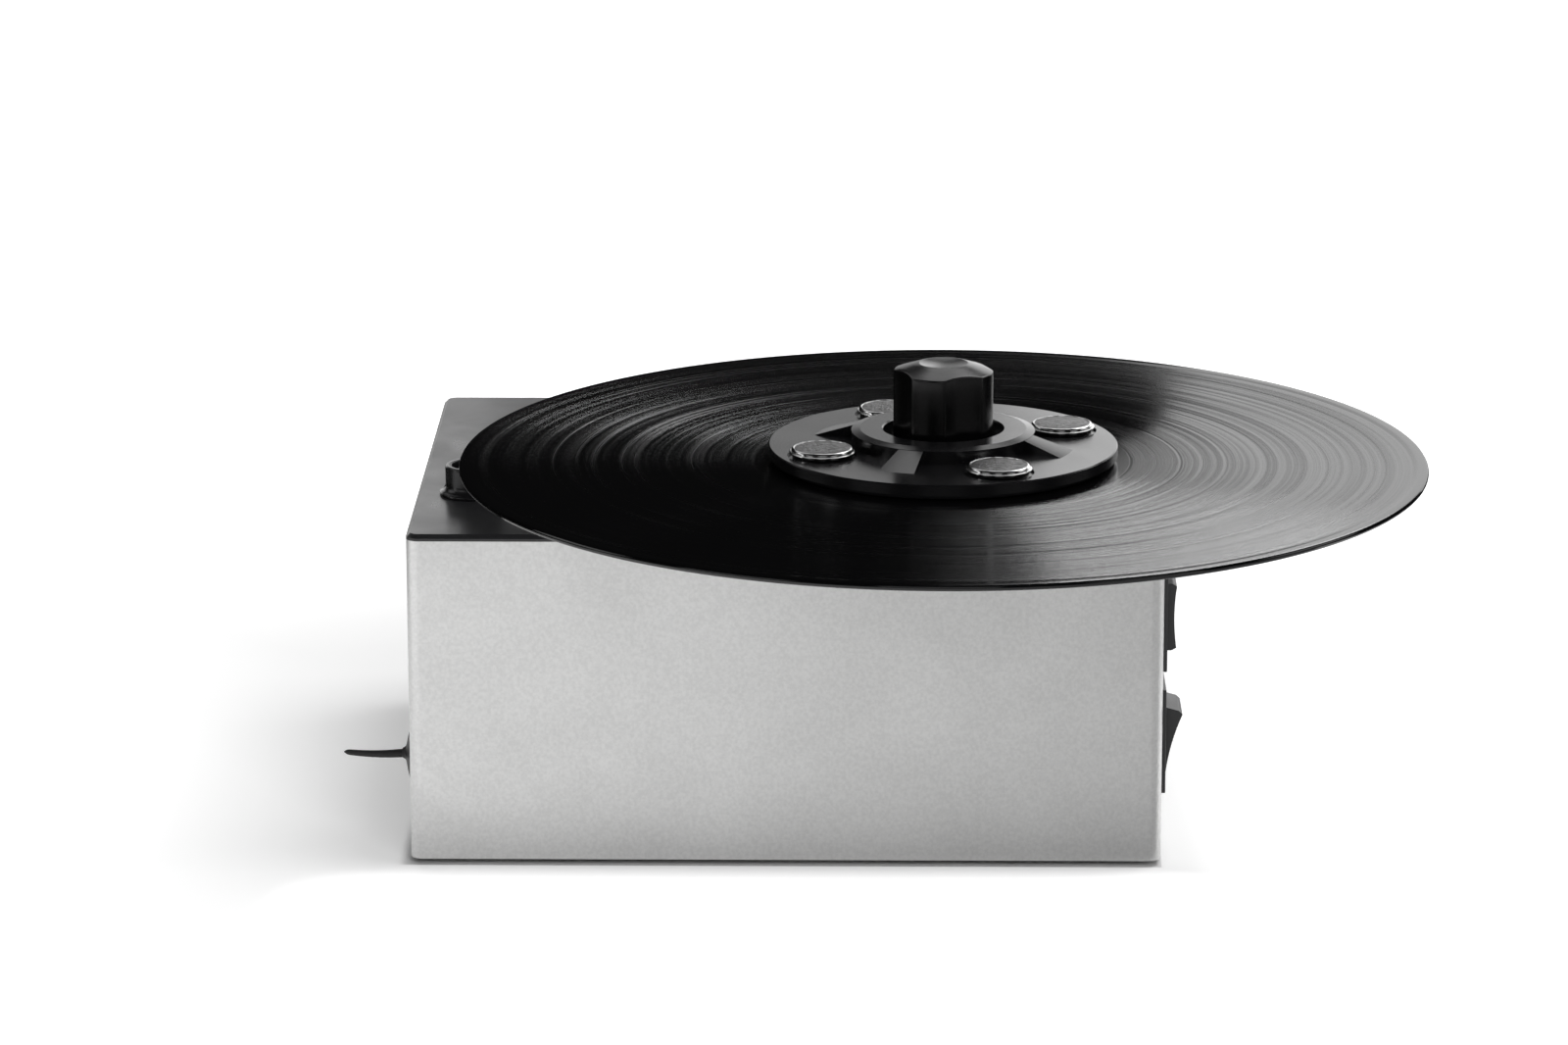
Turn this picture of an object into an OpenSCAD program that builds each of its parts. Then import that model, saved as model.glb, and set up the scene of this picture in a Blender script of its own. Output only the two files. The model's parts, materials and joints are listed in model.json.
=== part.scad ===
// Record cleaning machine, in millimetres.
// The frame stands on the table: Z = 0 is the floor under the feet, X runs to the right,
// Y runs to the back, and the origin is the centre of the case's footprint.

/* [Case] */
// Width of the silver case
case_w = 232; // [224:1:250]
// Depth of the silver case
case_d = 181; // [179:1:200]
// Height of the silver sheet wrap
case_h = 101.5; // [101:0.5:112]
// Outside radius of the upright front corners
corner_r = 4; // [2.5:0.5:6]
// Thickness of the folded aluminium wrap
wrap_t = 1.5; // [1:0.1:2]
// Width of the inward flanges of the wrap
flange_w = 10; // [8:0.5:12]
// Thickness of the steel base and rear panels
panel_t = 1.2; // [0.8:0.1:1.6]
// Gap left round a sheet panel that drops into the wrap
panel_fit = 0.3; // [0.1:0.1:0.5]

/* [Feet] */
// Diameter of a rubber foot
foot_d = 14; // [10:1:18]
// Height of a rubber foot
foot_h = 2; // [1.5:0.5:4]
// Distance from a case side to the centre of a foot
foot_inset = 20; // [19:1:28]

/* [Top plate] */
// Thickness of the black top plate
top_t = 2; // [1.5:0.1:3]
// Chamfer round the upper edge of the top plate
top_chamfer = 1.2; // [0.5:0.1:1.4]

/* [Record] */
// Diameter of the record
record_d = 301.6; // [290:0.2:306]
// Thickness of the record at its rim and label
record_t = 1.8; // [1.4:0.1:2.4]
// How far the grooved area lies below the rim bead
groove_relief = 0.2; // [0.1:0.05:0.3]
// Diameter of the raised label area
label_d = 104; // [100:1:110]
// Width of the rim bead
bead_w = 3.5; // [2:0.5:6]
// Height of the record's underside over the top plate
record_gap = 10.5; // [10:0.5:16]

/* [Turntable] */
// Spindle centre, from the case centre to the right
spindle_x = 48.5; // [46:0.5:52]
// Distance from the case's front to the spindle centre
spindle_inset = 48.5; // [46.5:0.5:50.5]
// Diameter of the spindle shaft in its bushes
shaft_d = 10; // [8:0.5:11]
// Diameter of the pin that centres the record
pin_d = 7.1; // [6.8:0.02:7.2]
// Diametral play between the centring pin and the record's hole
pin_play = 0.14; // [0.06:0.02:0.18]
// Diameter of the screw thread above the centring pin
thread_d = 6.8; // [6:0.1:7]
// Length of the screw thread
thread_l = 19; // [14:1:20]
// Diameter of the platter
platter_d = 106; // [96:1:112]
// Thickness of the platter
platter_t = 5; // [4:0.5:6]
// Thickness of the platter's rubber mat
mat_t = 1.5; // [1:0.1:2]
// Radial running play of every shaft in its bore
run_play = 0.05; // [0.02:0.01:0.09]

/* [Clamp] */
// Diameter of the clamp disc
clamp_d = 108.8; // [100:0.4:116]
// Height of the disc's upper face over the record
clamp_h = 5.2; // [4.5:0.1:7]
// Outside diameter of the raised ring
ring_d = 54; // [50:1:58]
// Diameter of the well inside the raised ring
well_d = 37.4; // [36:0.2:39]
// Height of the raised ring over the disc's upper face
ring_h = 3.9; // [3:0.1:6]
// Radius at which the ribs run out into the disc
rib_end_r = 41; // [38:0.5:46]
// Angle that one rib fills, in degrees
rib_angle = 15.6; // [10:0.2:20]
// Radius of the circle of the bright pads
pad_circle_r = 41; // [39:0.5:42]
// Diameter of one bright pad
pad_d = 20.4; // [16:0.2:21]
// Height of a pad over the disc's upper face
pad_h = 2.7; // [2:0.1:4]
// Turn of the pad pattern from the X axis, in degrees
pattern_turn = 22.5; // [0:0.5:89]

/* [Clamp knob] */
// Diameter of the knob over its lobes
knob_d = 31; // [29:0.5:33]
// Height of the knob's edge over the raised ring
knob_h = 19.2; // [15:0.2:24]
// Rise of the knob's conical shoulder
shoulder_h = 2.4; // [1:0.1:4]
// Diameter of the dish in the knob's top
dish_d = 15; // [12:0.5:18]
// Depth of the dish
dish_depth = 0.9; // [0.4:0.1:1.5]
// Radius of the four finger flutes
flute_r = 32; // [24:1:45]
// Depth of the flutes
flute_depth = 2; // [1:0.1:2.5]
// Turn of the flutes from the pad pattern, in degrees
flute_turn = 3; // [-10:0.5:10]

/* [Drive] */
// Module of the drive gears
gear_module = 1; // [1:0.05:1.1]
// Teeth of the large gear on the spindle
gear_teeth = 60; // [56:1:62]
// Teeth of the motor pinion
pinion_teeth = 18; // [17:1:20]
// Face width of the gears
gear_face = 8; // [6:0.5:9]
// Space taken off each tooth flank so that the mesh runs free
backlash = 0.08; // [0.05:0.01:0.15]
// Diameter of the gear motor
motor_d = 36; // [30:1:38]

/* [Suction] */
// Bore of the socket that takes the suction arm
socket_bore_d = 13; // [11:0.5:14]
// Outside diameter of the socket's upright collar
socket_d = 17.5; // [16.5:0.5:19]
// Height of the socket over the top plate
socket_h = 9.4; // [7:0.1:9.6]
// Distance from the case's left side to the socket centre
socket_side_inset = 17.7; // [17:0.1:20]
// Distance from the case's front to the socket centre
socket_front_inset = 51.5; // [40:0.5:60]
// Wall of the waste tank and of the air duct
mould_t = 2; // [1.5:0.1:2.5]
// Diameter of the blower's fan chamber, as a share of the case's depth
blower_share = 0.45; // [0.42:0.01:0.46]
// Number of vanes on the impeller
vane_count = 8; // [6:1:12]

/* [Drain] */
// Height of the drain over the bottom edge of the case
drain_z = 25; // [22:0.5:32]
// Distance from the case's front to the drain centre
drain_inset = 30.5; // [26:0.5:38]
// Bore of the drain spout
drain_bore_d = 11; // [9:0.5:12]
// Diameter of the plug's domed flange
plug_d = 20.5; // [18:0.5:23]
// Length of the plug's pull tail
tail_l = 19.5; // [14:0.5:26]

/* [Switches] */
// Height of a switch bezel
bezel_h = 33; // [31:0.5:36]
// Depth of a switch bezel, front to back
bezel_d = 25.4; // [24:0.2:28]
// How far a bezel stands out of the case side
bezel_t = 1.2; // [0.8:0.1:2]
// Distance from the case front to the switches' centre line
switch_inset = 17.5; // [17:0.5:22]
// Height of the upper switch over the bottom edge of the case
upper_switch_z = 75.8; // [74:0.2:77]
// Height of the lower switch over the bottom edge of the case
lower_switch_z = 36.9; // [35:0.2:38]
// Half the throw of the two-way rocker, in degrees
two_way_tilt = 15; // [10:1:16]

/* [Rear] */
// Number of slots in the exhaust grille
grille_slots = 13; // [9:1:15]
// Width of one exhaust slot
slot_w = 3; // [2:0.2:3.4]
// Distance from the case's right side to the mains inlet's centre
inlet_inset = 32; // [30:0.5:33]
// Height of the mains inlet over the bottom edge of the case
inlet_z = 30; // [27:0.5:34]

/* [Hidden] */

$fn = 96;
cut = 1;

// Levels over the floor
case_z = foot_h;
wrap_top = case_z + case_h;
plate_top = wrap_top + top_t;
record_z = plate_top + record_gap;
record_top = record_z + record_t;
disc_top = record_top + clamp_h;
ring_top = disc_top + ring_h;
knob_edge = ring_top + knob_h;
base_top = case_z + panel_t;
mat_z = record_z - mat_t;
platter_z = mat_z - platter_t;

// Case plan
inner_x = case_w / 2 - wrap_t;
inner_y = case_d / 2 - wrap_t;
rear_in = case_d / 2 - panel_t;
spindle_at = [spindle_x, -case_d / 2 + spindle_inset, 0];
socket_at = [-case_w / 2 + socket_side_inset, -case_d / 2 + socket_front_inset, 0];

// Fasteners
m3_r = 1.5;
m3_head_r = 2.8;
m3_head_h = 1.7;
m3_hole_r = 1.6;
m3_low_h = 1.2;
m3_nut_w = 5.5;
m3_nut_h = 2.2;
seat_fit = 0.05;

// Turntable
shaft_r = shaft_d / 2;
pin_r = pin_d / 2;
record_hole_r = pin_r + pin_play / 2;
thread_r = thread_d / 2;
bush_wall = 3;
bush_l = 10;
tube_wall = 4;
tube_r = shaft_r + bush_wall + tube_wall;
housing_flange_w = 12;
housing_flange_r = tube_r + housing_flange_w;
housing_flange_t = 4;
housing_rib_t = 3;
housing_rib_rise = 8;
housing_l = 38;
housing_neck = 1;
housing_screw_edge = 5;
housing_screw_r = housing_flange_r - housing_screw_edge;
washer_t = 1;
collar_r = 20;
collar_t = platter_z - (plate_top + housing_neck + washer_t);
gear_gap = 2;
gear_top = wrap_top - housing_l - gear_gap;
gear_z = gear_top - gear_face;
clip_t = 1;
shaft_end = gear_z - clip_t - 1;

// Gears
gear_hub_w = 5;
gear_rim_w = 5;
gear_web_t = 3;
gear_web_edge = 1.8;
gear_r = gear_module * gear_teeth / 2;
pinion_r = gear_module * pinion_teeth / 2;
centre_distance = gear_r + pinion_r;
motor_at = [spindle_at[0] - centre_distance, spindle_at[1], 0];
bracket_t = 2;
bracket_gap = 3;
bracket_top = gear_z - bracket_gap;
bracket_side = 6;
bracket_half = motor_d / 2 + bracket_side;
bracket_w = motor_d + 4;
bracket_foot_l = 9;
head_h = 18;
head_z = bracket_top - bracket_t - head_h;
head_boss_r = 8;
motor_screw_r = motor_d / 2 - 5;
motor_screw_l = 7;
motor_screw_angles = [90, 210, 330];
shaft_grip = 6;
motor_gap = 3;
motor_shaft_r = 3;

// Clamp
seal_r = 46;
seal_w = 4;
disc_lift = 0.8;
disc_bottom = record_top + disc_lift;
web_t = 1.4;
web_z = disc_bottom + web_t;
web_top = web_z + web_t;
neck_r = 7;
neck_play = 0.4;
knob_z = web_top + 1;
insert_r = 5;
insert_l = 20;
knob_clip_t = 0.7;
neck_z = record_top + 0.4;
pad_sink = 0.8;
pad_play = 0.5;

// Suction
socket_r = socket_d / 2;
socket_foot_r = socket_r + 1.9;
socket_foot_h = 1.6;
tail_r = socket_bore_d / 2 + 1.3;
socket_nut_h = 4;
socket_nut_w = 2.5;
socket_thread_l = 8;
spigot_h = 4;
hose_wall = 2;
tank_left = -inner_x + 4;
tank_right = -38;
tank_front = -inner_y + 5;
tank_back = rear_in - 31.3;
tank_z = base_top + 4;
lid_t = 2.5;
lid_play = 0.2;
duct_h = 12;
duct_gap = 3;
duct_top = wrap_top - wrap_t - duct_gap;
duct_z = duct_top - duct_h;
lid_top = duct_z - spigot_h;
tank_top = lid_top - lid_t;
port_r = 9;
duct_w = 26;

// Blower
foam_t = 5.3;
foam_gap = 1;
blower_r = blower_share * case_d / 2;
blower_at = [33, rear_in - foam_t - foam_gap - blower_r, 0];
air_port = [-64, blower_at[1], 0];
cover_top = lid_top;
cover_t = 2.5;
chamber_h = 26;
chamber_z = cover_top - cover_t - chamber_h;
motor_body_r = 28;
motor_body_z = base_top + 10;
blower_shaft_r = 3;
impeller_r = blower_r - mould_t - 4;
impeller_h = 14;

// Drain
drain_r = drain_bore_d / 2;
spout_r = drain_r + 2;
plug_flange_t = 3.2;
plug_play = 0.3;
drain_at = [-case_w / 2, -case_d / 2 + drain_inset, case_z + drain_z];

// Switches
switch_x = case_w / 2;
switch_y = -case_d / 2 + switch_inset;
cutout_h = bezel_h - 4.6;
cutout_d = bezel_d - 3.4;
switch_depth = 20;
rocker_pivot = 2.4;
rocker_tip_u = 6.5;
rocker_tip_v = 9.75;
rocker_half_h = 10.6;
rocker_half_w = 9;
rocker_back = 4.6;
rocker_scoop_r = 68;
rocker_reach = norm([rocker_tip_u, rocker_tip_v]);
rocker_clear = 0.25;
axle_r = 1.5;
axle_l = 1;

// Rear and power
inlet_x = case_w / 2 - inlet_inset;
inlet_w = 27;
inlet_h = 19.8;
inlet_flange = 2;
inlet_flange_t = 2.4;
inlet_wall = 1.6;
inlet_depth = 17;
board_t = 1.6;
board_w = 22;
board_side_room = 12.5;
board_front_room = 46.5;
board_rear_room = 34.5;
board_x1 = inner_x - board_side_room;
board_x0 = board_x1 - board_w;
board_y0 = -case_d / 2 + board_front_room;
board_y1 = case_d / 2 - board_rear_room;
board_l = board_y1 - board_y0;
spacer_r = 3;
spacer_l = 8;
spacer_edge = 4;
board_z = base_top + spacer_l;
transformer_w = 20;
transformer_l = 0.3 * board_l;
transformer_h = 26;
winding_h = 18;

// Plan outlines and small shapes

// Outline of the case moved inward by inset, square at the back line
module case_outline(inset, back) {
    r = corner_r - inset > 0.5 ? corner_r - inset : 0.5;
    half_w = case_w / 2 - inset;
    front = -case_d / 2 + inset;
    translate([-half_w + r, front]) square([2 * (half_w - r), r + cut]);
    translate([-half_w, front + r]) square([2 * half_w, back - front - r]);
    for (side = [-1, 1]) translate([side * (half_w - r), front + r]) circle(r);
}

module pipe(outer, inner, h) {
    difference() {
        cylinder(r = outer, h = h);
        translate([0, 0, -cut]) cylinder(r = inner, h = h + 2 * cut);
    }
}

// Centred block standing on z = 0
module block(w, d, h) {
    translate([-w / 2, -d / 2, 0]) cube([w, d, h]);
}

// Screw with a low round head on top of z = 0 and its shank below
module screw(shank_r, shank_l, head_r, head_h) {
    cylinder(r = head_r, h = head_h);
    translate([0, 0, -shank_l]) cylinder(r = shank_r, h = shank_l + head_h / 2);
}

module hex_nut(across, hole_r, h) {
    difference() {
        cylinder(r = across / sqrt(3), h = h, $fn = 6);
        translate([0, 0, -cut]) cylinder(r = hole_r, h = h + 2 * cut, $fn = 48);
    }
}

function foot_places() = [for (sx = [-1, 1], sy = [-1, 1])
    [sx * (case_w / 2 - foot_inset), sy * (case_d / 2 - foot_inset)]];

flange_mid = inner_x - flange_w / 2;
flange_mid_y = inner_y - flange_w / 2;
side_screw_inset = 45;
front_screw_inset = 58;
front_stud_inset = 75;
side_stud_inset = 10;

// Screws that hold the base panel, along both sides and the front
function base_places() = concat(
    [for (sx = [-1, 1], sy = [-1, 1]) [sx * flange_mid, sy * (case_d / 2 - side_screw_inset)]],
    [for (sx = [-1, 1]) [sx * (case_w / 2 - front_screw_inset), -flange_mid_y]]);

// Studs that hold the top plate
function stud_places() = concat(
    [for (sx = [-1, 1], sy = [-0.72, 0.1, 0.85]) [sx * flange_mid, sy * (case_d / 2 - side_stud_inset)]],
    [for (sx = [-1, 1]) [sx * (case_w / 2 - front_stud_inset), -flange_mid_y]]);

// Screws of the rear panel, as [x, z over the case's bottom edge]
function rear_places() = [for (sx = [-1, 1], sz = [0.15, 0.5, 0.88]) [sx * flange_mid, sz * case_h]];

// Case

module wrap_flange(z) {
    translate([0, 0, z]) linear_extrude(wrap_t) difference() {
        case_outline(wrap_t / 2, rear_in);
        case_outline(wrap_t + flange_w, rear_in + cut);
    }
}

// One folded sheet: the front, both sides and the flanges that carry the panels
module case_wrap() {
    upright_h = case_h - panel_t;
    color("silver") difference() {
        union() {
            translate([0, 0, case_z]) linear_extrude(case_h) difference() {
                case_outline(0, case_d / 2);
                case_outline(wrap_t, case_d / 2 + cut);
            }
            wrap_flange(wrap_top - wrap_t);
            wrap_flange(base_top);
            for (side = [-1, 1]) {
                translate([side * flange_mid, rear_in - wrap_t / 2, base_top])
                    block(flange_w + wrap_t, wrap_t, upright_h);
            }
        }
        translate([drain_at[0] - cut, drain_at[1], drain_at[2]]) rotate([0, 90, 0])
            cylinder(r = spout_r + seat_fit, h = wrap_t + 2 * cut);
        for (z = [upper_switch_z, lower_switch_z]) {
            translate([switch_x, switch_y, case_z + z - cutout_h / 2])
                block(4 * wrap_t, cutout_d, cutout_h);
        }
        // Notch that lets the arm socket and its nut past the flange
        translate(socket_at + [0, 0, wrap_top - wrap_t - cut])
            cylinder(r = tail_r + socket_nut_w + panel_fit, h = wrap_t + 2 * cut);
        for (p = stud_places()) {
            translate([p[0], p[1], wrap_top - wrap_t - cut]) cylinder(r = m3_hole_r, h = wrap_t + 2 * cut);
        }
        for (p = base_places()) {
            translate([p[0], p[1], base_top - cut]) cylinder(r = m3_hole_r, h = wrap_t + 2 * cut);
        }
        for (p = rear_places()) {
            translate([p[0], rear_in + cut, case_z + p[1]]) rotate([90, 0, 0])
                cylinder(r = m3_hole_r, h = wrap_t + 2 * cut);
        }
    }
}

// Steel panel that closes the bottom, with air slots under the blower motor
module base_plate() {
    slot_count = 7;
    slot_pitch = 8;
    slot_l = 36;
    color("dimgray") translate([0, 0, case_z]) difference() {
        linear_extrude(panel_t) case_outline(wrap_t + panel_fit, rear_in - panel_fit);
        for (p = concat(foot_places(), base_places())) {
            translate([p[0], p[1], -cut]) cylinder(r = m3_hole_r, h = panel_t + 2 * cut);
        }
        for (i = [0 : slot_count - 1]) {
            translate([blower_at[0] + (i - (slot_count - 1) / 2) * slot_pitch, blower_at[1], -cut])
                block(slot_w, slot_l, panel_t + 2 * cut);
        }
    }
}

grille_pitch = 5.2;
grille_z = case_z + 54;
grille_h = 30;

// Steel panel at the back: exhaust grille behind the blower and the inlet cut-out
module rear_panel() {
    panel_w = 2 * (inner_x - panel_fit);
    color([0.08, 0.08, 0.08]) difference() {
        translate([0, rear_in + panel_t / 2, case_z]) block(panel_w, panel_t, case_h);
        for (i = [0 : grille_slots - 1]) {
            translate([blower_at[0] + (i - (grille_slots - 1) / 2) * grille_pitch, rear_in - cut, grille_z]) {
                translate([-slot_w / 2, 0, 0]) cube([slot_w, panel_t + 2 * cut, grille_h]);
                for (z = [0, grille_h]) {
                    translate([0, 0, z]) rotate([-90, 0, 0])
                        cylinder(r = slot_w / 2, h = panel_t + 2 * cut, $fn = 24);
                }
            }
        }
        translate([inlet_x, rear_in, case_z + inlet_z - inlet_h / 2 - panel_fit])
            block(inlet_w + 2 * panel_fit, 4 * panel_t, inlet_h + 2 * panel_fit);
        for (p = rear_places()) {
            translate([p[0], rear_in - cut, case_z + p[1]]) rotate([-90, 0, 0])
                cylinder(r = m3_hole_r, h = panel_t + 2 * cut);
        }
    }
}

// Bars of the top plate's section, chamfered along both long edges
module plate_bar(length, width) {
    half = width / 2;
    translate([-length / 2, 0, 0]) rotate([90, 0, 90]) linear_extrude(length)
        polygon([[-half, 0], [half, 0], [half, top_t - top_chamfer], [half - top_chamfer, top_t],
            [-half + top_chamfer, top_t], [-half, top_t - top_chamfer]]);
}

// Black plate with round corners and a chamfered edge, held from below by studs
module top_plate() {
    stud_l = wrap_t + 3.6;
    color([0.07, 0.07, 0.07]) difference() {
        union() {
            translate([0, 0, wrap_top]) {
                plate_bar(case_w - 2 * corner_r, case_d);
                rotate([0, 0, 90]) plate_bar(case_d - 2 * corner_r, case_w);
                for (sx = [-1, 1], sy = [-1, 1]) {
                    translate([sx * (case_w / 2 - corner_r), sy * (case_d / 2 - corner_r), 0]) {
                        cylinder(r = corner_r, h = top_t - top_chamfer);
                        translate([0, 0, top_t - top_chamfer])
                            cylinder(r1 = corner_r, r2 = corner_r - top_chamfer, h = top_chamfer);
                    }
                }
            }
            for (p = stud_places()) {
                translate([p[0], p[1], wrap_top - stud_l]) cylinder(r = m3_r, h = stud_l + top_t / 2);
            }
        }
        translate([0, 0, wrap_top - cut]) {
            translate(spindle_at) {
                cylinder(r = tube_r + seat_fit, h = top_t + 2 * cut);
                for (a = [45 : 90 : 315]) rotate([0, 0, a]) translate([housing_screw_r, 0, 0])
                    cylinder(r = m3_hole_r, h = top_t + 2 * cut);
            }
            translate(socket_at) cylinder(r = tail_r + seat_fit, h = top_t + 2 * cut);
        }
    }
}

// Nuts on the top plate's studs, under the wrap's flange
module top_nuts() {
    color("silver") for (p = stud_places()) {
        translate([p[0], p[1], wrap_top - wrap_t - m3_nut_h]) hex_nut(m3_nut_w, m3_r, m3_nut_h);
    }
}

// Low rubber feet with a recess for the screw head
module rubber_feet() {
    color([0.05, 0.05, 0.05]) for (p = foot_places()) {
        translate([p[0], p[1], 0]) difference() {
            rotate_extrude() polygon([[0, 0], [foot_d / 2 - 0.5, 0], [foot_d / 2, foot_h], [0, foot_h]]);
            translate([0, 0, -cut]) cylinder(r = m3_hole_r, h = foot_h + 2 * cut);
            translate([0, 0, -cut]) cylinder(r = m3_head_r + 0.2, h = cut + foot_h / 2);
        }
    }
}

module foot_screws() {
    color("silver") for (p = foot_places()) {
        translate([p[0], p[1], foot_h / 2]) mirror([0, 0, 1]) {
            cylinder(r = m3_head_r, h = 0.6);
            translate([0, 0, -foot_h / 2 - panel_t - 3]) cylinder(r = m3_r, h = foot_h / 2 + panel_t + 3.3);
        }
    }
}

module base_screws() {
    color("silver") for (p = base_places()) {
        translate([p[0], p[1], case_z]) mirror([0, 0, 1])
            screw(m3_r, panel_t + wrap_t + 2, m3_head_r, m3_low_h);
    }
}

module rear_screws() {
    color([0.1, 0.1, 0.1]) for (p = rear_places()) {
        translate([p[0], case_d / 2, case_z + p[1]]) rotate([-90, 0, 0])
            screw(m3_r, panel_t + wrap_t + 2, m3_head_r, m3_head_h);
    }
}

// Turntable bearing and drive

// Flanged tube that hangs below the top plate and holds the two bushes
module bearing_housing() {
    top = plate_top + housing_neck;
    bottom = wrap_top - housing_l;
    color("darkgray") translate(spindle_at) difference() {
        union() {
            translate([0, 0, bottom]) cylinder(r = tube_r, h = top - bottom);
            translate([0, 0, wrap_top - housing_flange_t])
                cylinder(r = housing_flange_r, h = housing_flange_t);
            for (a = [0 : 90 : 270]) rotate([90, 0, a]) translate([0, 0, -housing_rib_t / 2])
                linear_extrude(housing_rib_t) polygon([[tube_r - 1, bottom + housing_rib_rise],
                    [tube_r, bottom + housing_rib_rise],
                    [housing_flange_r - 2, wrap_top - housing_flange_t],
                    [tube_r - 1, wrap_top - housing_flange_t]]);
        }
        translate([0, 0, bottom - cut]) cylinder(r = shaft_r + 1, h = top - bottom + 2 * cut);
        for (z = [bottom, top - bush_l]) translate([0, 0, z - cut])
            cylinder(r = shaft_r + bush_wall, h = bush_l + cut);
        translate([0, 0, top - cut]) cylinder(r = shaft_r + bush_wall, h = 2 * cut);
        for (a = [45 : 90 : 315]) rotate([0, 0, a])
            translate([housing_screw_r, 0, wrap_top - housing_flange_t - cut])
                cylinder(r = m3_r, h = housing_flange_t + 2 * cut);
    }
}

// Screws through the top plate into the bearing flange, hidden under the platter
module bearing_screws() {
    color("silver") translate(spindle_at) for (a = [45 : 90 : 315]) rotate([0, 0, a]) {
        translate([housing_screw_r, 0, plate_top])
            screw(m3_r, top_t + housing_flange_t, m3_head_r, m3_low_h);
    }
}

module bearing_bushes() {
    bottom = wrap_top - housing_l;
    top = plate_top + housing_neck;
    color("peru") translate(spindle_at) {
        translate([0, 0, bottom]) pipe(shaft_r + bush_wall, shaft_r + run_play, bush_l - cut);
        translate([0, 0, top - bush_l]) pipe(shaft_r + bush_wall, shaft_r + run_play, bush_l);
    }
}

// Washer that carries the turntable's weight on the upper bush
module thrust_washer() {
    color("white") translate(spindle_at) translate([0, 0, plate_top + housing_neck])
        pipe(tube_r - 1, shaft_r + run_play, washer_t);
}

// Shaft, collar under the platter, centring pin and screw thread in one turned piece
module spindle() {
    pin_top = record_top + 1.2;
    color("lightgray") translate(spindle_at) {
        translate([0, 0, shaft_end]) cylinder(r = shaft_r, h = mat_z - shaft_end);
        translate([0, 0, platter_z - collar_t]) cylinder(r = collar_r, h = collar_t);
        translate([0, 0, mat_z]) cylinder(r = pin_r, h = pin_top - mat_z - 0.4);
        translate([0, 0, pin_top - 0.4]) cylinder(r1 = pin_r, r2 = thread_r, h = 0.4);
        translate([0, 0, pin_top]) cylinder(r = thread_r, h = thread_l - 1);
        translate([0, 0, pin_top + thread_l - 1]) cylinder(r1 = thread_r, r2 = thread_r - 1, h = 1);
    }
}

module spindle_clip() {
    color("silver") translate(spindle_at) translate([0, 0, gear_z - clip_t]) difference() {
        pipe(shaft_r + 3.5, shaft_r + seat_fit, clip_t);
        translate([shaft_r + 2, 0, -cut]) block(2 * shaft_r, 4, clip_t + 2 * cut);
    }
}

// Involute gear outline: a flank is traced from the base circle to the tip
function involute_point(base_r, t) = [base_r * (cos(t) + t * PI / 180 * sin(t)),
    base_r * (sin(t) - t * PI / 180 * cos(t))];
function turn(p, a) = [p[0] * cos(a) - p[1] * sin(a), p[0] * sin(a) + p[1] * cos(a)];
function roll_to(base_r, r) = sqrt(r * r / (base_r * base_r) - 1) * 180 / PI;

// A tooth centred on the X axis, as points from its right root to its left root
function tooth_points(teeth, m) =
    let (pitch_r = m * teeth / 2, base_r = pitch_r * cos(20), tip_r = pitch_r + m,
        root_r = pitch_r - 1.25 * m, pitch_roll = roll_to(base_r, pitch_r),
        pitch_angle = pitch_roll - atan(pitch_roll * PI / 180),
        half_tooth = 90 / teeth - backlash / pitch_r * 180 / PI,
        start_roll = root_r > base_r ? roll_to(base_r, root_r) : 0,
        steps = 4, tip_roll = roll_to(base_r, tip_r),
        rise = [for (i = [0 : steps]) let (t = start_roll + (tip_roll - start_roll) * i / steps)
            turn(involute_point(base_r, t), -pitch_angle - half_tooth)],
        root = root_r > base_r ? [] : [rise[0] * root_r / norm(rise[0])])
    concat(root, rise, [for (i = [steps : -1 : 0]) [rise[i][0], -rise[i][1]]],
        [for (p = root) [p[0], -p[1]]]);

module gear_outline(teeth, m) {
    polygon([for (k = [0 : teeth - 1]) for (p = tooth_points(teeth, m)) turn(p, k * 360 / teeth)]);
}

// Large gear keyed to the lower end of the spindle, with a hub, a web and lightening holes
module drive_gear() {
    hub_r = shaft_r + gear_hub_w;
    rim_r = gear_r - gear_rim_w;
    color("ivory") translate(spindle_at) translate([0, 0, gear_z]) difference() {
        // A gap between two teeth faces the pinion, on the minus X side
        rotate([0, 0, 180 + 180 / gear_teeth]) linear_extrude(gear_face)
            gear_outline(gear_teeth, gear_module);
        translate([0, 0, gear_web_t]) pipe(rim_r, hub_r, gear_face);
        translate([0, 0, -cut]) cylinder(r = shaft_r, h = gear_face + 2 * cut);
        for (a = [30 : 60 : 330]) rotate([0, 0, a]) translate([(rim_r + hub_r) / 2, 0, -cut])
            cylinder(r = (rim_r - hub_r) / 2 - gear_web_edge, h = gear_face + 2 * cut);
    }
}

module motor_pinion() {
    color("goldenrod") translate(motor_at) {
        translate([0, 0, gear_z]) linear_extrude(gear_face) gear_outline(pinion_teeth, gear_module);
        translate([0, 0, bracket_top - bracket_t - shaft_grip])
            cylinder(r = motor_shaft_r, h = gear_z - bracket_top + bracket_t + shaft_grip + cut);
    }
}

// Reduction gear head, with the socket of its output shaft
module gear_head() {
    color("gray") translate(motor_at) difference() {
        union() {
            translate([0, 0, head_z]) cylinder(r = motor_d / 2, h = head_h);
            translate([0, 0, head_z + head_h - cut]) cylinder(r = head_boss_r, h = bracket_t + cut);
        }
        translate([0, 0, bracket_top - bracket_t - shaft_grip - run_play])
            cylinder(r = motor_shaft_r + run_play, h = bracket_t + shaft_grip + cut);
        for (a = motor_screw_angles) rotate([0, 0, a]) translate([motor_screw_r, 0, bracket_top - 8])
            cylinder(r = m3_r, h = 10);
    }
}

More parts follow.
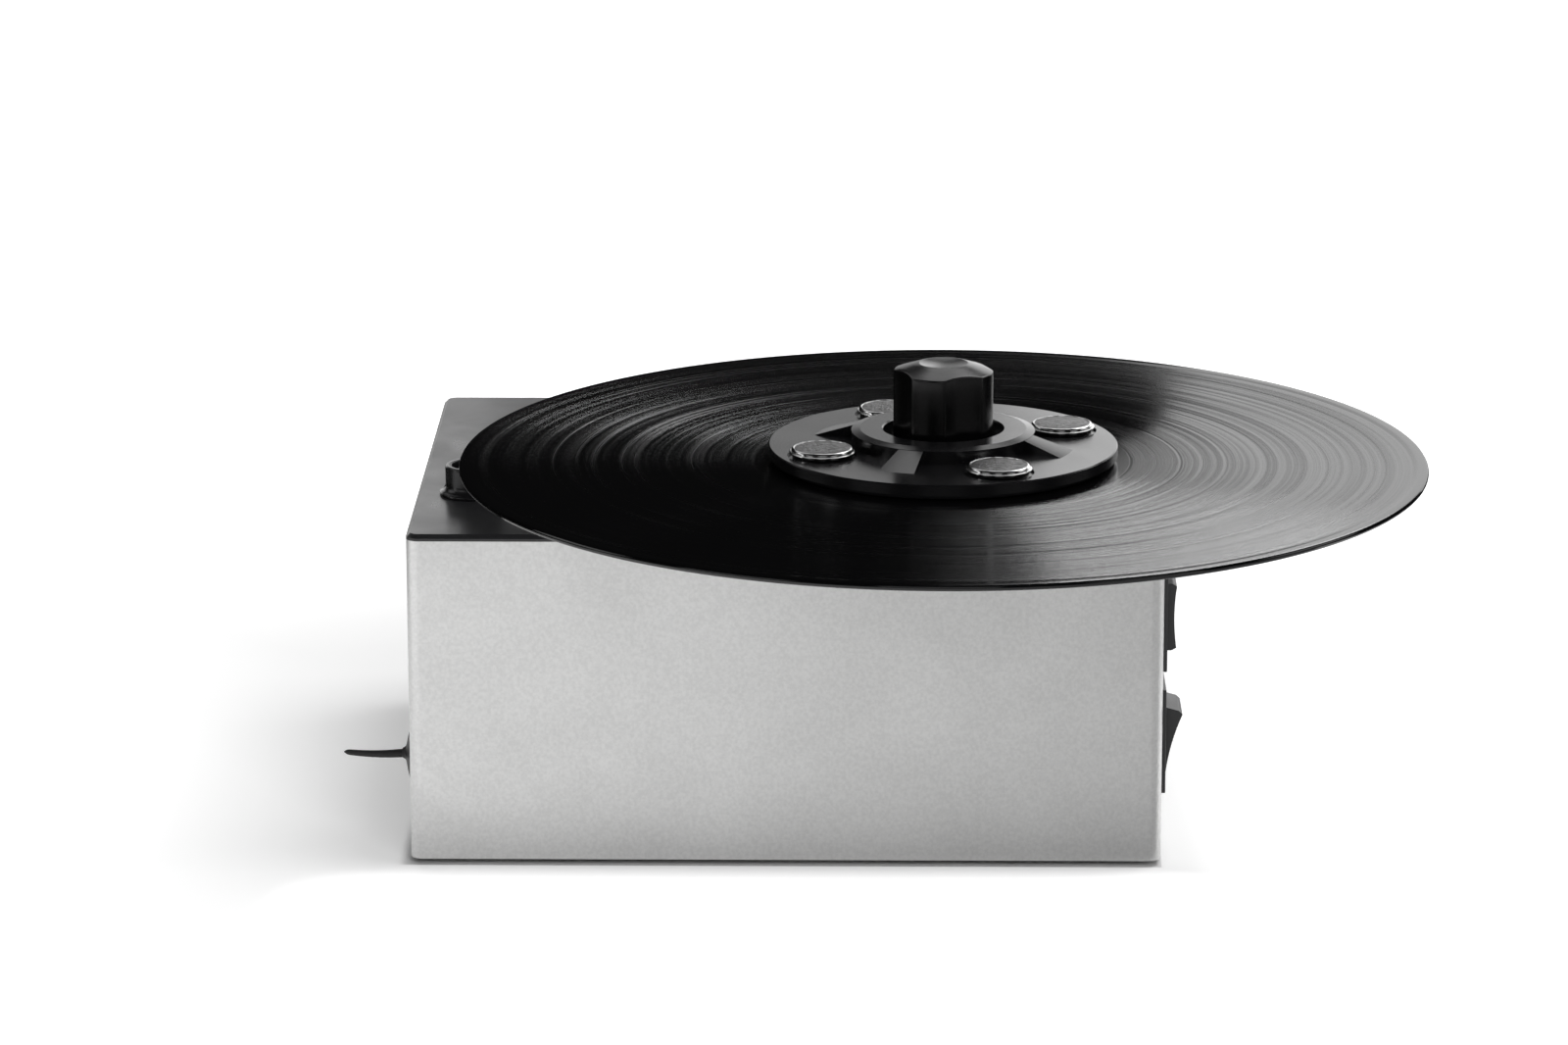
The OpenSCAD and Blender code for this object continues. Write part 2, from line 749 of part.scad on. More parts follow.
module drive_motor() {
    motor_z = base_top + motor_gap;
    color("lightgray") translate(motor_at) {
        translate([0, 0, motor_z]) cylinder(r = motor_d / 2 - 1, h = head_z - motor_z);
        for (side = [-1, 1]) translate([side * 9, 0, motor_z - 2]) block(2.8, 0.6, 3);
    }
}

// Bridge of folded steel that carries the gear motor over the base panel
module motor_bracket() {
    leg_y = bracket_half - bracket_t;
    color("gainsboro") translate(motor_at) difference() {
        union() {
            translate([0, 0, bracket_top - bracket_t]) block(bracket_w, 2 * bracket_half, bracket_t);
            for (side = [-1, 1]) {
                translate([0, side * (leg_y + bracket_t / 2), base_top])
                    block(bracket_w, bracket_t, bracket_top - base_top);
                translate([0, side * (bracket_half + bracket_foot_l / 2 - bracket_t / 2), base_top])
                    block(bracket_w, bracket_foot_l + bracket_t, bracket_t);
            }
        }
        translate([0, 0, bracket_top - bracket_t - cut])
            cylinder(r = head_boss_r + seat_fit, h = bracket_t + 2 * cut);
        for (a = motor_screw_angles) rotate([0, 0, a])
            translate([motor_screw_r, 0, bracket_top - bracket_t - cut])
                cylinder(r = m3_hole_r, h = bracket_t + 2 * cut);
    }
}

module motor_screws() {
    color("silver") translate(motor_at) for (a = motor_screw_angles) rotate([0, 0, a]) {
        translate([motor_screw_r, 0, bracket_top]) screw(m3_r, motor_screw_l, m3_head_r, m3_head_h);
    }
}

// Platter, mat and record

module platter() {
    platter_r = platter_d / 2;
    skirt = 1.2;
    color([0.1, 0.1, 0.1]) translate(spindle_at) rotate_extrude() polygon([[shaft_r, platter_z],
        [platter_r - 6, platter_z], [platter_r - 5, platter_z - skirt], [platter_r - 0.6, platter_z - skirt],
        [platter_r, platter_z - skirt + 0.6], [platter_r, mat_z - 0.6], [platter_r - 0.6, mat_z],
        [shaft_r, mat_z]]);
}

module platter_mat() {
    mat_r = platter_d / 2 - 2;
    groove_r = mat_r - 6;
    color([0.14, 0.14, 0.14]) translate(spindle_at) translate([0, 0, mat_z]) difference() {
        pipe(mat_r, pin_r + 1, mat_t);
        translate([0, 0, mat_t / 2]) pipe(groove_r, groove_r - 2, mat_t);
    }
}

// Twelve-inch record: label bead, thinner grooved area and rim bead
module vinyl_record() {
    rim = record_d / 2;
    label = label_d / 2;
    low = groove_relief;
    high = record_t - groove_relief;
    edge = 0.5;
    color([0.03, 0.03, 0.03]) translate(spindle_at) translate([0, 0, record_z]) rotate_extrude($fn = 180)
        polygon([[record_hole_r, 0], [label - 1, 0], [label, low], [rim - bead_w - 1, low], [rim - bead_w, 0],
            [rim - edge, 0], [rim, edge], [rim, record_t - edge], [rim - edge, record_t],
            [rim - bead_w, record_t], [rim - bead_w - 1, high], [label, high], [label - 1, record_t],
            [record_hole_r, record_t]]);
}

// Clamp

// Moulded disc: raised ring round the knob's well, four ribs and counterbores for the pads
module clamp_disc() {
    rim_r = clamp_d / 2;
    ring_r = ring_d / 2;
    well_r = well_d / 2;
    edge = 0.6;
    color([0.12, 0.12, 0.12]) translate(spindle_at) difference() {
        union() {
            rotate_extrude($fn = 144) polygon([[neck_r + neck_play, web_z], [well_r - 1, web_z],
                [well_r, disc_bottom], [rim_r - 1, disc_bottom], [rim_r, disc_bottom + 1],
                [rim_r, disc_top - edge], [rim_r - edge, disc_top], [ring_r, disc_top],
                [ring_r, ring_top - edge], [ring_r - edge, ring_top], [well_r + edge, ring_top],
                [well_r, ring_top - edge], [well_r, web_top], [neck_r + neck_play, web_top]]);
            for (k = [0 : 3]) rotate([0, 0, pattern_turn + 45 + 90 * k - rib_angle / 2])
                rotate_extrude(angle = rib_angle) polygon([[ring_r - 1, disc_top - cut],
                    [ring_r - 1, ring_top - edge], [ring_r, ring_top - edge], [rib_end_r, disc_top],
                    [rib_end_r, disc_top - cut]]);
        }
        translate([0, 0, disc_bottom - cut]) pipe(seal_r + seal_w, seal_r, cut + 1.2);
        for (k = [0 : 3]) rotate([0, 0, pattern_turn + 90 * k])
            translate([pad_circle_r, 0, disc_top - pad_sink])
                cylinder(r = pad_d / 2 + pad_play, h = pad_sink + cut);
    }
}

// Bright caps let into the disc
module clamp_pads() {
    r = pad_d / 2;
    crown = 1;
    color("lightgray") translate(spindle_at) for (k = [0 : 3]) rotate([0, 0, pattern_turn + 90 * k])
        translate([pad_circle_r, 0, disc_top - pad_sink]) rotate_extrude() polygon([[0, 0], [r, 0],
            [r, pad_sink + 0.9], [r - 0.25, pad_h + pad_sink - 0.5], [r - crown, pad_h + pad_sink],
            [r - crown - 0.4, pad_h + pad_sink - 0.15], [0, pad_h + pad_sink - 0.15]]);
}

// Rubber ring under the disc that keeps fluid off the label
module clamp_seal() {
    color([0.02, 0.02, 0.02]) translate(spindle_at) translate([0, 0, record_top])
        pipe(seal_r + seal_w - 0.1, seal_r + 0.1, disc_lift + 1.2);
}

// Bright thrust washer at the foot of the knob's well
module knob_washer() {
    color("white") translate(spindle_at) translate([0, 0, web_top])
        pipe(well_d / 2 - panel_fit, neck_r + neck_play, knob_z - web_top);
}

// Finger knob: four shallow flutes, conical shoulder, dished top, blind hole for the insert
module clamp_knob() {
    r = knob_d / 2;
    dish_r = dish_d / 2;
    top = knob_edge + shoulder_h;
    ball_r = (dish_r * dish_r + dish_depth * dish_depth) / (2 * dish_depth);
    color([0.06, 0.06, 0.06]) translate(spindle_at) difference() {
        rotate_extrude() polygon([[0, neck_z], [neck_r, neck_z], [neck_r, knob_z], [r - 1, knob_z],
            [r, knob_z + 1], [r, knob_edge - 0.4], [r - 0.5, knob_edge + 0.1], [dish_r + 0.3, top],
            [0, top]]);
        for (k = [0 : 3]) rotate([0, 0, pattern_turn + flute_turn + 90 * k])
            translate([r - flute_depth + flute_r, 0, knob_z + 1.5]) cylinder(r = flute_r, h = knob_h + 20);
        translate([0, 0, top + ball_r - dish_depth]) sphere(r = ball_r);
        translate([0, 0, neck_z - cut]) cylinder(r = insert_r, h = insert_l + cut);
        translate([0, 0, neck_z + 0.4]) pipe(neck_r + cut, neck_r - 1, knob_clip_t);
    }
}

// Brass insert that runs on the spindle's thread
module knob_insert() {
    color("gold") translate(spindle_at) translate([0, 0, neck_z])
        pipe(insert_r, pin_r + run_play, insert_l);
}

// Retaining ring that keeps the knob in the disc's web
module knob_clip() {
    color("silver") translate(spindle_at) translate([0, 0, neck_z + 0.4]) difference() {
        pipe(neck_r + 2.4, neck_r - 1 + seat_fit, knob_clip_t);
        translate([neck_r + 1, 0, -cut]) block(2 * neck_r, 4, knob_clip_t + 2 * cut);
    }
}

// Suction path

// Turned collar on a flared foot, open on top for the suction arm, with a tail through the plate
module arm_socket() {
    bore_r = socket_bore_d / 2;
    top = plate_top + socket_h;
    bottom = wrap_top - socket_thread_l - spigot_h;
    lip = 0.8;
    color([0.05, 0.05, 0.05]) translate(socket_at) rotate_extrude() polygon([[bore_r, bottom],
        [tail_r, bottom], [tail_r, plate_top], [socket_foot_r, plate_top],
        [socket_foot_r, plate_top + socket_foot_h / 2], [socket_r + 0.4, plate_top + socket_foot_h],
        [socket_r, plate_top + socket_foot_h + 1.4], [socket_r, top - lip], [socket_r - lip, top],
        [bore_r, top]]);
}

module socket_nut() {
    color("gray") translate(socket_at) translate([0, 0, wrap_top - socket_nut_h])
        pipe(tail_r + socket_nut_w, tail_r + seat_fit, socket_nut_h);
}

// Straight hose from the socket's tail to the tank lid's spigot
module suction_hose() {
    hose_top = wrap_top - socket_nut_h - 0.5;
    color([0.2, 0.2, 0.2]) translate(socket_at) translate([0, 0, lid_top])
        pipe(tail_r + hose_wall, tail_r + seat_fit, hose_top - lid_top);
}

// Moulded waste tank, open on top, with a boss for the drain
module waste_tank() {
    w = tank_right - tank_left;
    d = tank_back - tank_front;
    mid = [(tank_left + tank_right) / 2, (tank_front + tank_back) / 2, 0];
    color([0.85, 0.85, 0.8]) difference() {
        translate(mid + [0, 0, tank_z]) block(w, d, tank_top - tank_z);
        translate(mid + [0, 0, tank_z + mould_t]) block(w - 2 * mould_t, d - 2 * mould_t, tank_top);
        translate([tank_left - cut, drain_at[1], drain_at[2]]) rotate([0, 90, 0])
            cylinder(r = spout_r + seat_fit, h = mould_t + 2 * cut);
    }
}

// Lid with one spigot for the suction hose and one for the air duct
module tank_lid() {
    w = tank_right - tank_left;
    d = tank_back - tank_front;
    mid = [(tank_left + tank_right) / 2, (tank_front + tank_back) / 2, 0];
    stub = 10;
    color([0.75, 0.75, 0.72]) difference() {
        union() {
            translate(mid + [0, 0, tank_top]) block(w, d, lid_t);
            translate(mid + [0, 0, tank_top - 2])
                block(w - 2 * (mould_t + lid_play), d - 2 * (mould_t + lid_play), 2 + cut);
            translate(socket_at + [0, 0, tank_top - stub]) cylinder(r = tail_r, h = stub + cut);
            translate(air_port + [0, 0, lid_top - cut]) cylinder(r = port_r, h = spigot_h + cut);
        }
        translate(socket_at + [0, 0, tank_top - stub - cut])
            cylinder(r = tail_r - 1.5, h = stub + lid_t + 2 * cut);
        translate(air_port + [0, 0, tank_top - 2 - cut])
            cylinder(r = port_r - mould_t, h = lid_t + spigot_h + 2 + 2 * cut);
    }
}

// Spout from the tank through the left side of the case
module drain_spout() {
    flange_t = 1.5;
    inner_end = tank_left + mould_t + flange_t;
    color([0.05, 0.05, 0.05]) translate([0, drain_at[1], drain_at[2]]) rotate([0, 90, 0]) {
        translate([0, 0, drain_at[0] - 0.1]) pipe(spout_r, drain_r, inner_end - drain_at[0] + 0.1);
        translate([0, 0, tank_left + mould_t]) pipe(spout_r + 2.5, drain_r, flange_t);
    }
}

module spout_nut() {
    nut_t = tank_left - (drain_at[0] + wrap_t);
    color("gray") translate([drain_at[0] + wrap_t, drain_at[1], drain_at[2]]) rotate([0, 90, 0])
        pipe(spout_r + 3, spout_r + seat_fit, nut_t);
}

// Rubber plug: stem in the spout, domed flange and a tapered pull tail
module drain_plug() {
    stem_l = 8;
    flange_r = plug_d / 2;
    dome_r = (flange_r * flange_r + plug_flange_t * plug_flange_t) / (2 * plug_flange_t);
    root_r = 1.4;
    tip_r = 0.85;
    start = plug_flange_t - 1;
    color([0.03, 0.03, 0.03]) translate([drain_at[0] - 0.2, drain_at[1], drain_at[2]]) rotate([0, -90, 0]) {
        translate([0, 0, -stem_l]) cylinder(r1 = drain_r - plug_play - 0.8, r2 = drain_r - plug_play, h = 2);
        translate([0, 0, 2 - stem_l]) cylinder(r = drain_r - plug_play, h = stem_l - 1);
        intersection() {
            translate([0, 0, plug_flange_t - dome_r]) sphere(r = dome_r, $fn = 120);
            cylinder(r = flange_r, h = plug_flange_t + cut);
        }
        translate([0, 0, start]) cylinder(r1 = root_r, r2 = tip_r, h = tail_l, $fn = 40);
        translate([0, 0, start + tail_l]) sphere(r = tip_r, $fn = 40);
    }
}

// Blower

module blower_motor() {
    body_h = chamber_z - 2 - motor_body_z;
    color("slategray") translate(blower_at) difference() {
        union() {
            translate([0, 0, motor_body_z]) cylinder(r = motor_body_r, h = body_h);
            translate([0, 0, motor_body_z - 6]) cylinder(r = 9, h = 7);
            translate([0, 0, chamber_z - 2 - cut]) cylinder(r = 12, h = 2 + cut);
        }
        for (k = [0 : 7]) rotate([0, 0, 45 * k]) translate([motor_body_r, 0, motor_body_z + 6])
            block(8, 7, body_h - 14);
        translate([0, 0, chamber_z - 12]) cylinder(r = blower_shaft_r + run_play, h = 14);
    }
}

// Ring and three legs that stand the blower motor on the base panel
module blower_mount() {
    ring_t = 4;
    ring_r = motor_body_r + 3;
    leg_r = 4;
    ring_z = motor_body_z - ring_t;
    color([0.25, 0.25, 0.25]) translate(blower_at) {
        translate([0, 0, ring_z]) pipe(ring_r, ring_r - 11, ring_t);
        for (k = [0 : 2]) rotate([0, 0, 120 * k + 90]) translate([ring_r - leg_r - 2, 0, base_top])
            cylinder(r = leg_r, h = ring_z - base_top + 1);
    }
}

// Cup round the impeller with a row of outlet ports towards the back
module blower_chamber() {
    port_h = 12;
    color("gray") translate(blower_at) difference() {
        translate([0, 0, chamber_z]) cylinder(r = blower_r, h = chamber_h);
        translate([0, 0, chamber_z + mould_t]) cylinder(r = blower_r - mould_t, h = chamber_h);
        translate([0, 0, chamber_z - cut]) cylinder(r = blower_shaft_r + 0.5, h = mould_t + 2 * cut);
        for (a = [50 : 16 : 130]) rotate([0, 0, a]) translate([blower_r, 0, chamber_z + 6])
            block(4 * mould_t, 7, port_h);
    }
}

// Fan wheel with curved vanes between two discs, on the motor's shaft
module blower_impeller() {
    z0 = chamber_z + mould_t + 3;
    eye_r = 13;
    vane_r = 26;
    disc_t = 1.2;
    color("ivory") translate(blower_at) {
        translate([0, 0, z0]) cylinder(r = impeller_r, h = disc_t);
        translate([0, 0, z0 + impeller_h - disc_t]) pipe(impeller_r, eye_r, disc_t);
        translate([0, 0, z0]) cylinder(r1 = 9, r2 = 5, h = impeller_h - 1);
        translate([0, 0, chamber_z - 10]) cylinder(r = blower_shaft_r, h = 10 + mould_t + 4);
        translate([0, 0, z0 + disc_t / 2]) linear_extrude(impeller_h - disc_t) intersection() {
            difference() {
                circle(r = impeller_r - 0.5);
                circle(r = 7.5);
            }
            for (k = [0 : vane_count - 1]) rotate([0, 0, 360 / vane_count * k])
                translate([impeller_r / 2, 15]) difference() {
                    circle(r = vane_r - 1);
                    circle(r = vane_r - 2.2);
                    translate([-2 * vane_r, -vane_r / 2]) square(4 * vane_r);
                }
        }
    }
}

// Cover of the fan chamber with the intake collar in its middle
module blower_cover() {
    color("darkgray") translate(blower_at) difference() {
        union() {
            translate([0, 0, cover_top - cover_t]) cylinder(r = blower_r, h = cover_t);
            translate([0, 0, cover_top - cut]) cylinder(r = port_r, h = spigot_h + cut);
        }
        translate([0, 0, cover_top - cover_t - cut])
            cylinder(r = port_r - mould_t, h = cover_t + spigot_h + 2 * cut);
    }
}

// Flat moulded duct from the tank lid to the blower's intake
module air_duct() {
    x0 = air_port[0] - duct_w / 2;
    x1 = blower_at[0] + duct_w / 2;
    y_mid = (air_port[1] + blower_at[1]) / 2;
    length = x1 - x0;
    color([0.3, 0.3, 0.3]) difference() {
        translate([(x0 + x1) / 2, y_mid, duct_z]) block(length, duct_w + 4, duct_h);
        translate([(x0 + x1) / 2, y_mid, duct_z + mould_t])
            block(length - 2 * mould_t, duct_w + 4 - 2 * mould_t, duct_h - 2 * mould_t);
        for (p = [air_port, blower_at]) translate(p + [0, 0, duct_z - cut])
            cylinder(r = port_r - mould_t, h = mould_t + 2 * cut);
    }
}

// Foam that quiets the exhaust, against the grille
module exhaust_foam() {
    color([0.15, 0.15, 0.15]) translate([blower_at[0], rear_in - foam_t / 2, grille_z - 4])
        block(grille_slots * grille_pitch + 6, foam_t, grille_h + 8);
}

// Switches

// Everything of a switch is drawn in its own frame: u out of the case side, v up, w to the front
module at_switch(z) {
    translate([switch_x, switch_y, case_z + z]) rotate([90, 0, 0]) children();
}

module switch_body(z) {
    hollow_r = rocker_reach + rocker_clear;
    tab_l = 7;
    at_switch(z) difference() {
        union() {
            translate([0, -bezel_h / 2, -bezel_d / 2]) cube([bezel_t, bezel_h, bezel_d]);
            translate([-switch_depth, 0.2 - cutout_h / 2, 0.2 - cutout_d / 2])
                cube([switch_depth + bezel_t / 2, cutout_h - 0.4, cutout_d - 0.4]);
            for (v = [-8, 0, 8], w = [-5, 5]) {
                translate([-switch_depth - tab_l, v - 0.4, w - 2.4]) cube([tab_l + cut, 0.8, 4.8]);
            }
        }
        translate([-rocker_pivot, 0, -rocker_half_w - 0.2])
            cylinder(r = hollow_r, h = 2 * rocker_half_w + 0.4);
        translate([-rocker_pivot, 0, -rocker_half_w - axle_l - 0.2])
            cylinder(r = axle_r + run_play, h = 2 * (rocker_half_w + axle_l + 0.2), $fn = 48);
    }
}

// Rocker with a scooped face and stub axles, turned by tilt from its middle position
module rocker(z, tilt) {
    at_switch(z) translate([-rocker_pivot, 0, 0]) rotate([0, 0, tilt]) {
        translate([0, 0, -rocker_half_w]) linear_extrude(2 * rocker_half_w) difference() {
            intersection() {
                circle(r = rocker_reach);
                translate([-rocker_back, -rocker_half_h])
                    square([rocker_back + rocker_tip_u, 2 * rocker_half_h]);
            }
            translate([rocker_tip_u + sqrt(pow(rocker_scoop_r, 2) - pow(rocker_tip_v, 2)), 0])
                circle(r = rocker_scoop_r, $fn = 240);
        }
        translate([0, 0, -rocker_half_w - axle_l])
            cylinder(r = axle_r, h = 2 * (rocker_half_w + axle_l), $fn = 48);
    }
}

module direction_switch() {
    color([0.04, 0.04, 0.04]) switch_body(upper_switch_z);
}

module direction_rocker() {
    color([0.1, 0.1, 0.1]) rocker(upper_switch_z, 0);
}

module pump_switch() {
    color([0.04, 0.04, 0.04]) switch_body(lower_switch_z);
}

module pump_rocker() {
    color([0.1, 0.1, 0.1]) rocker(lower_switch_z, -two_way_tilt);
}

// Mains inlet and power board

// Outline of the inlet's mouth, with the two lower corners cut off
module inlet_outline(w, h, corner) {
    polygon([[-w / 2, h / 2], [-w / 2, -h / 2 + corner], [-w / 2 + corner, -h / 2],
        [w / 2 - corner, -h / 2], [w / 2, -h / 2 + corner], [w / 2, h / 2]]);
}

module mains_inlet() {
    rim_w = inlet_w + 2 * inlet_flange;
    rim_h = inlet_h + 2 * inlet_flange;
    color([0.03, 0.03, 0.03]) translate([inlet_x, case_d / 2, case_z + inlet_z]) rotate([90, 0, 180])
    difference() {
        union() {
            translate([-rim_w / 2, -rim_h / 2, 0]) cube([rim_w, rim_h, inlet_flange_t]);
            translate([-inlet_w / 2, -inlet_h / 2, -inlet_depth])
                cube([inlet_w, inlet_h, inlet_depth + cut]);
            for (x = [-7, 0, 7]) translate([x - 2.4, -2, -inlet_depth - 6]) cube([4.8, 0.8, 7]);
        }
        translate([0, 0, inlet_wall - inlet_depth]) linear_extrude(inlet_depth + inlet_flange_t)
            inlet_outline(inlet_w - 2 * inlet_wall, inlet_h - 2 * inlet_wall, 4);
    }
}

module inlet_pins() {
    color("silver") translate([inlet_x, case_d / 2, case_z + inlet_z]) rotate([90, 0, 180]) {
        for (p = [[-7, -2], [0, 2], [7, -2]]) {
            translate([p[0] - 1, p[1] - 2, inlet_wall - inlet_depth]) cube([2, 4, inlet_depth - 3]);
        }
    }
}

module power_board() {
    color("darkgreen") translate([board_x0, board_y0, board_z])
        cube([board_x1 - board_x0, board_y1 - board_y0, board_t]);
}

// Transformer, capacitors, relay and terminal block
module board_parts() {
    x_mid = (board_x0 + board_x1) / 2;
    color("khaki") translate([x_mid, 0, board_z + board_t]) {
        translate([0, board_y0 + 0.58 * board_l, 0]) {
            block(transformer_w, transformer_l, transformer_h);
            translate([0, 0, (transformer_h - winding_h) / 2])
                block(board_w - 1, 0.6 * transformer_l, winding_h);
        }
        for (share = [0.12, 0.26]) translate([-board_w / 5, board_y0 + share * board_l, 0])
            cylinder(r = board_w / 4.4, h = winding_h);
        translate([board_w / 4, board_y0 + 0.345 * board_l, 0]) block(board_w / 2.2, 0.14 * board_l, 12);
        translate([board_w / 7, board_y0 + 0.86 * board_l, 0]) block(board_w / 2.2, 0.14 * board_l, 10);
    }
}

module board_spacers() {
    color("white") for (x = [board_x0 + spacer_edge, board_x1 - spacer_edge],
            y = [board_y0 + spacer_edge, board_y1 - spacer_edge]) {
        translate([x, y, base_top]) cylinder(r = spacer_r, h = spacer_l);
    }
}

case_wrap();
base_plate();
rear_panel();
top_plate();
top_nuts();
rubber_feet();
foot_screws();
base_screws();
rear_screws();
bearing_housing();
bearing_screws();
bearing_bushes();
thrust_washer();
spindle();
spindle_clip();
drive_gear();
motor_pinion();
gear_head();
drive_motor();
motor_bracket();
motor_screws();
platter();
platter_mat();
vinyl_record();
clamp_disc();
clamp_pads();
clamp_seal();
knob_washer();
clamp_knob();
knob_insert();
knob_clip();
arm_socket();
socket_nut();
suction_hose();
waste_tank();
tank_lid();
drain_spout();
spout_nut();
drain_plug();
blower_motor();
blower_mount();
blower_chamber();
blower_impeller();
blower_cover();
air_duct();
exhaust_foam();
direction_switch();
direction_rocker();
pump_switch();
pump_rocker();
mains_inlet();
inlet_pins();
power_board();
board_parts();
board_spacers();
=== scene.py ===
# %% [markdown]
# # A record cleaning machine, dressed for its portrait
#
# This file is a lesson in cells. It loads the exact solids of the machine, builds finer pieces over
# those that the eye meets first, gives every piece a procedural finish, and lights the result like a
# studio photograph. All lengths are metres, in the frame of the solids: the floor is Z = 0, X runs to
# the right, Y to the back, and the origin is under the middle of the case.

# %% Load the solids
import json
import math

import bmesh
import bpy
from mathutils import Matrix, Vector


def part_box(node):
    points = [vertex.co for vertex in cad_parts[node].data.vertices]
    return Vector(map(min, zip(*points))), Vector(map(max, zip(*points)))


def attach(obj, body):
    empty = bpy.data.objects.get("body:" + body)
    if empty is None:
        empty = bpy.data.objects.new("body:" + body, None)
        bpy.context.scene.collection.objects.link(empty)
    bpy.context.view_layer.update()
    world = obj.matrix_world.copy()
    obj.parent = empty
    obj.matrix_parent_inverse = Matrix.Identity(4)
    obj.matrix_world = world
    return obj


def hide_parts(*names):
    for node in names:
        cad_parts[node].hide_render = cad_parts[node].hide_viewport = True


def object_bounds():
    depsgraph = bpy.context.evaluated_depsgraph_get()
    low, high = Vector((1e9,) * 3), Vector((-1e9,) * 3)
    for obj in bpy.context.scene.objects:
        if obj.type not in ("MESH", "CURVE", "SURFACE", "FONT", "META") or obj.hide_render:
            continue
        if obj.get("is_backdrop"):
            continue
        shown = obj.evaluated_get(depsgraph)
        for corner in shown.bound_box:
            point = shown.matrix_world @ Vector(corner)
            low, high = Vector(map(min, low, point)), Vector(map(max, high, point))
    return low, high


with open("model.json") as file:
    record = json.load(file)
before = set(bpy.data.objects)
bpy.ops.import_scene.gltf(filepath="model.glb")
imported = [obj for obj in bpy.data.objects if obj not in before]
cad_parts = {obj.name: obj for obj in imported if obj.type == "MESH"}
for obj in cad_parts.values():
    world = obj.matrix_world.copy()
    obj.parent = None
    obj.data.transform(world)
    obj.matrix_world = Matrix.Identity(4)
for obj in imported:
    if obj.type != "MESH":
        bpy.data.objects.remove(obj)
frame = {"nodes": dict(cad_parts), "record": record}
cad_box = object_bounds()
print("solids:", len(frame["nodes"]))
print("box:", [tuple(round(v, 4) for v in corner) for corner in cad_box])

# %% [markdown]
# ## Where things are
#
# A piece that stands for a solid has to stay where that solid is. Rather than repeat the drawing's
# numbers, the script reads levels and centres from the boxes of the solids, so a change in the drawing
# carries over by itself.

# %% Read levels and centres from the solids
MM = 0.001


def low(node):
    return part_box(node)[0]


def high(node):
    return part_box(node)[1]


def middle(node):
    lowest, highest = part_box(node)
    return (lowest + highest) / 2


spindle = Vector((middle("vinyl_record").x, middle("vinyl_record").y, 0))
record_bottom, record_top = low("vinyl_record").z, high("vinyl_record").z
print("spindle at", tuple(round(v / MM, 2) for v in spindle), "mm")

# %% [markdown]
# ## Camera
#
# The photograph was taken from the front, almost two metres away with a long lens, looking down by
# about fifteen degrees. The direction is written as pitch, yaw and roll, and turned into the camera's
# three axes, because a camera that is aimed by numbers gives the same frame each run.

# %% Set up the camera
FRAME_WIDTH_PX = 1600
FOCAL_PX = 6226.3
SENSOR_MM = 36.0
camera_at = Vector((0.02717, -1.88816, 0.58066))
pitch, yaw, roll = math.radians(14.677), math.radians(-0.876), math.radians(-0.072)

ahead = Vector((math.sin(yaw) * math.cos(pitch), math.cos(yaw) * math.cos(pitch), -math.sin(pitch)))
level_right = Vector((math.cos(yaw), -math.sin(yaw), 0))
level_up = level_right.cross(ahead)
right = math.cos(roll) * level_right + math.sin(roll) * level_up
up = math.cos(roll) * level_up - math.sin(roll) * level_right

lens = bpy.data.cameras.new("portrait_lens")
lens.sensor_width = SENSOR_MM
lens.lens = FOCAL_PX / FRAME_WIDTH_PX * SENSOR_MM
lens.clip_end = 50
camera = bpy.data.objects.new("portrait_camera", lens)
camera.matrix_world = Matrix.Translation(camera_at) @ Matrix((right, up, -ahead)).transposed().to_4x4()
bpy.context.scene.collection.objects.link(camera)
bpy.context.scene.camera = camera
print("focal length", round(lens.lens, 1), "mm")

# %% [markdown]
# ## Tools for making pieces
#
# Most of this machine is either turned on a lathe or folded and moulded with small edge radii. Two
# helpers cover that, and the small ones before them are their parts. `turned` takes the corners of a
# section, each with its own fillet radius, rounds them and spins the section about an upright axis.
# `softened` copies a solid's mesh, melts its flat triangles into clean faces and rounds the sharp edges
# with a bevel, because a real edge always catches a thin line of light and a mathematically sharp one
# never does.

# %% Tool: round the corners of a section
SAME_POINT_MM = 1e-6
MOST_OF_SIDE = 0.45


def curve(start, corner, end, steps):
    """Points from start to end on a bow that the corner pulls outwards."""
    shares = [k / steps for k in range(steps + 1)]
    return [tuple(start * (1 - t) ** 2 + corner * 2 * t * (1 - t) + end * t**2) for t in shares]


def rounded_section(corners, steps=4):
    """Corners are (radius, height, fillet) in millimetres, in order round the section."""
    points = []
    count = len(corners)
    for i in range(count):
        here = Vector(corners[i][:2])
        before = Vector(corners[i - 1][:2]) - here
        after = Vector(corners[(i + 1) % count][:2]) - here
        fillet = corners[i][2] if len(corners[i]) > 2 else 0
        if not fillet or min(before.length, after.length) < SAME_POINT_MM:
            points.append(tuple(here))
            continue
        reach = min(fillet, MOST_OF_SIDE * before.length, MOST_OF_SIDE * after.length)
        points += curve(here + before.normalized() * reach, here, here + after.normalized() * reach, steps)
    return points


# %% Tool: turn a mesh into a smooth-shaded piece


def finish_mesh(bm, name, smooth_to=35, at=(0, 0, 0)):
    bmesh.ops.remove_doubles(bm, verts=bm.verts, dist=1e-7)
    bmesh.ops.dissolve_degenerate(bm, edges=bm.edges, dist=1e-8)
    bmesh.ops.recalc_face_normals(bm, faces=bm.faces)
    mesh = bpy.data.meshes.new(name)
    bm.to_mesh(mesh)
    bm.free()
    mesh.shade_smooth()
    mesh.set_sharp_from_angle(angle=math.radians(smooth_to))
    piece = bpy.data.objects.new(name, mesh)
    piece.location = at
    bpy.context.scene.collection.objects.link(piece)
    return piece


# %% Tool: spin a section about an upright axis


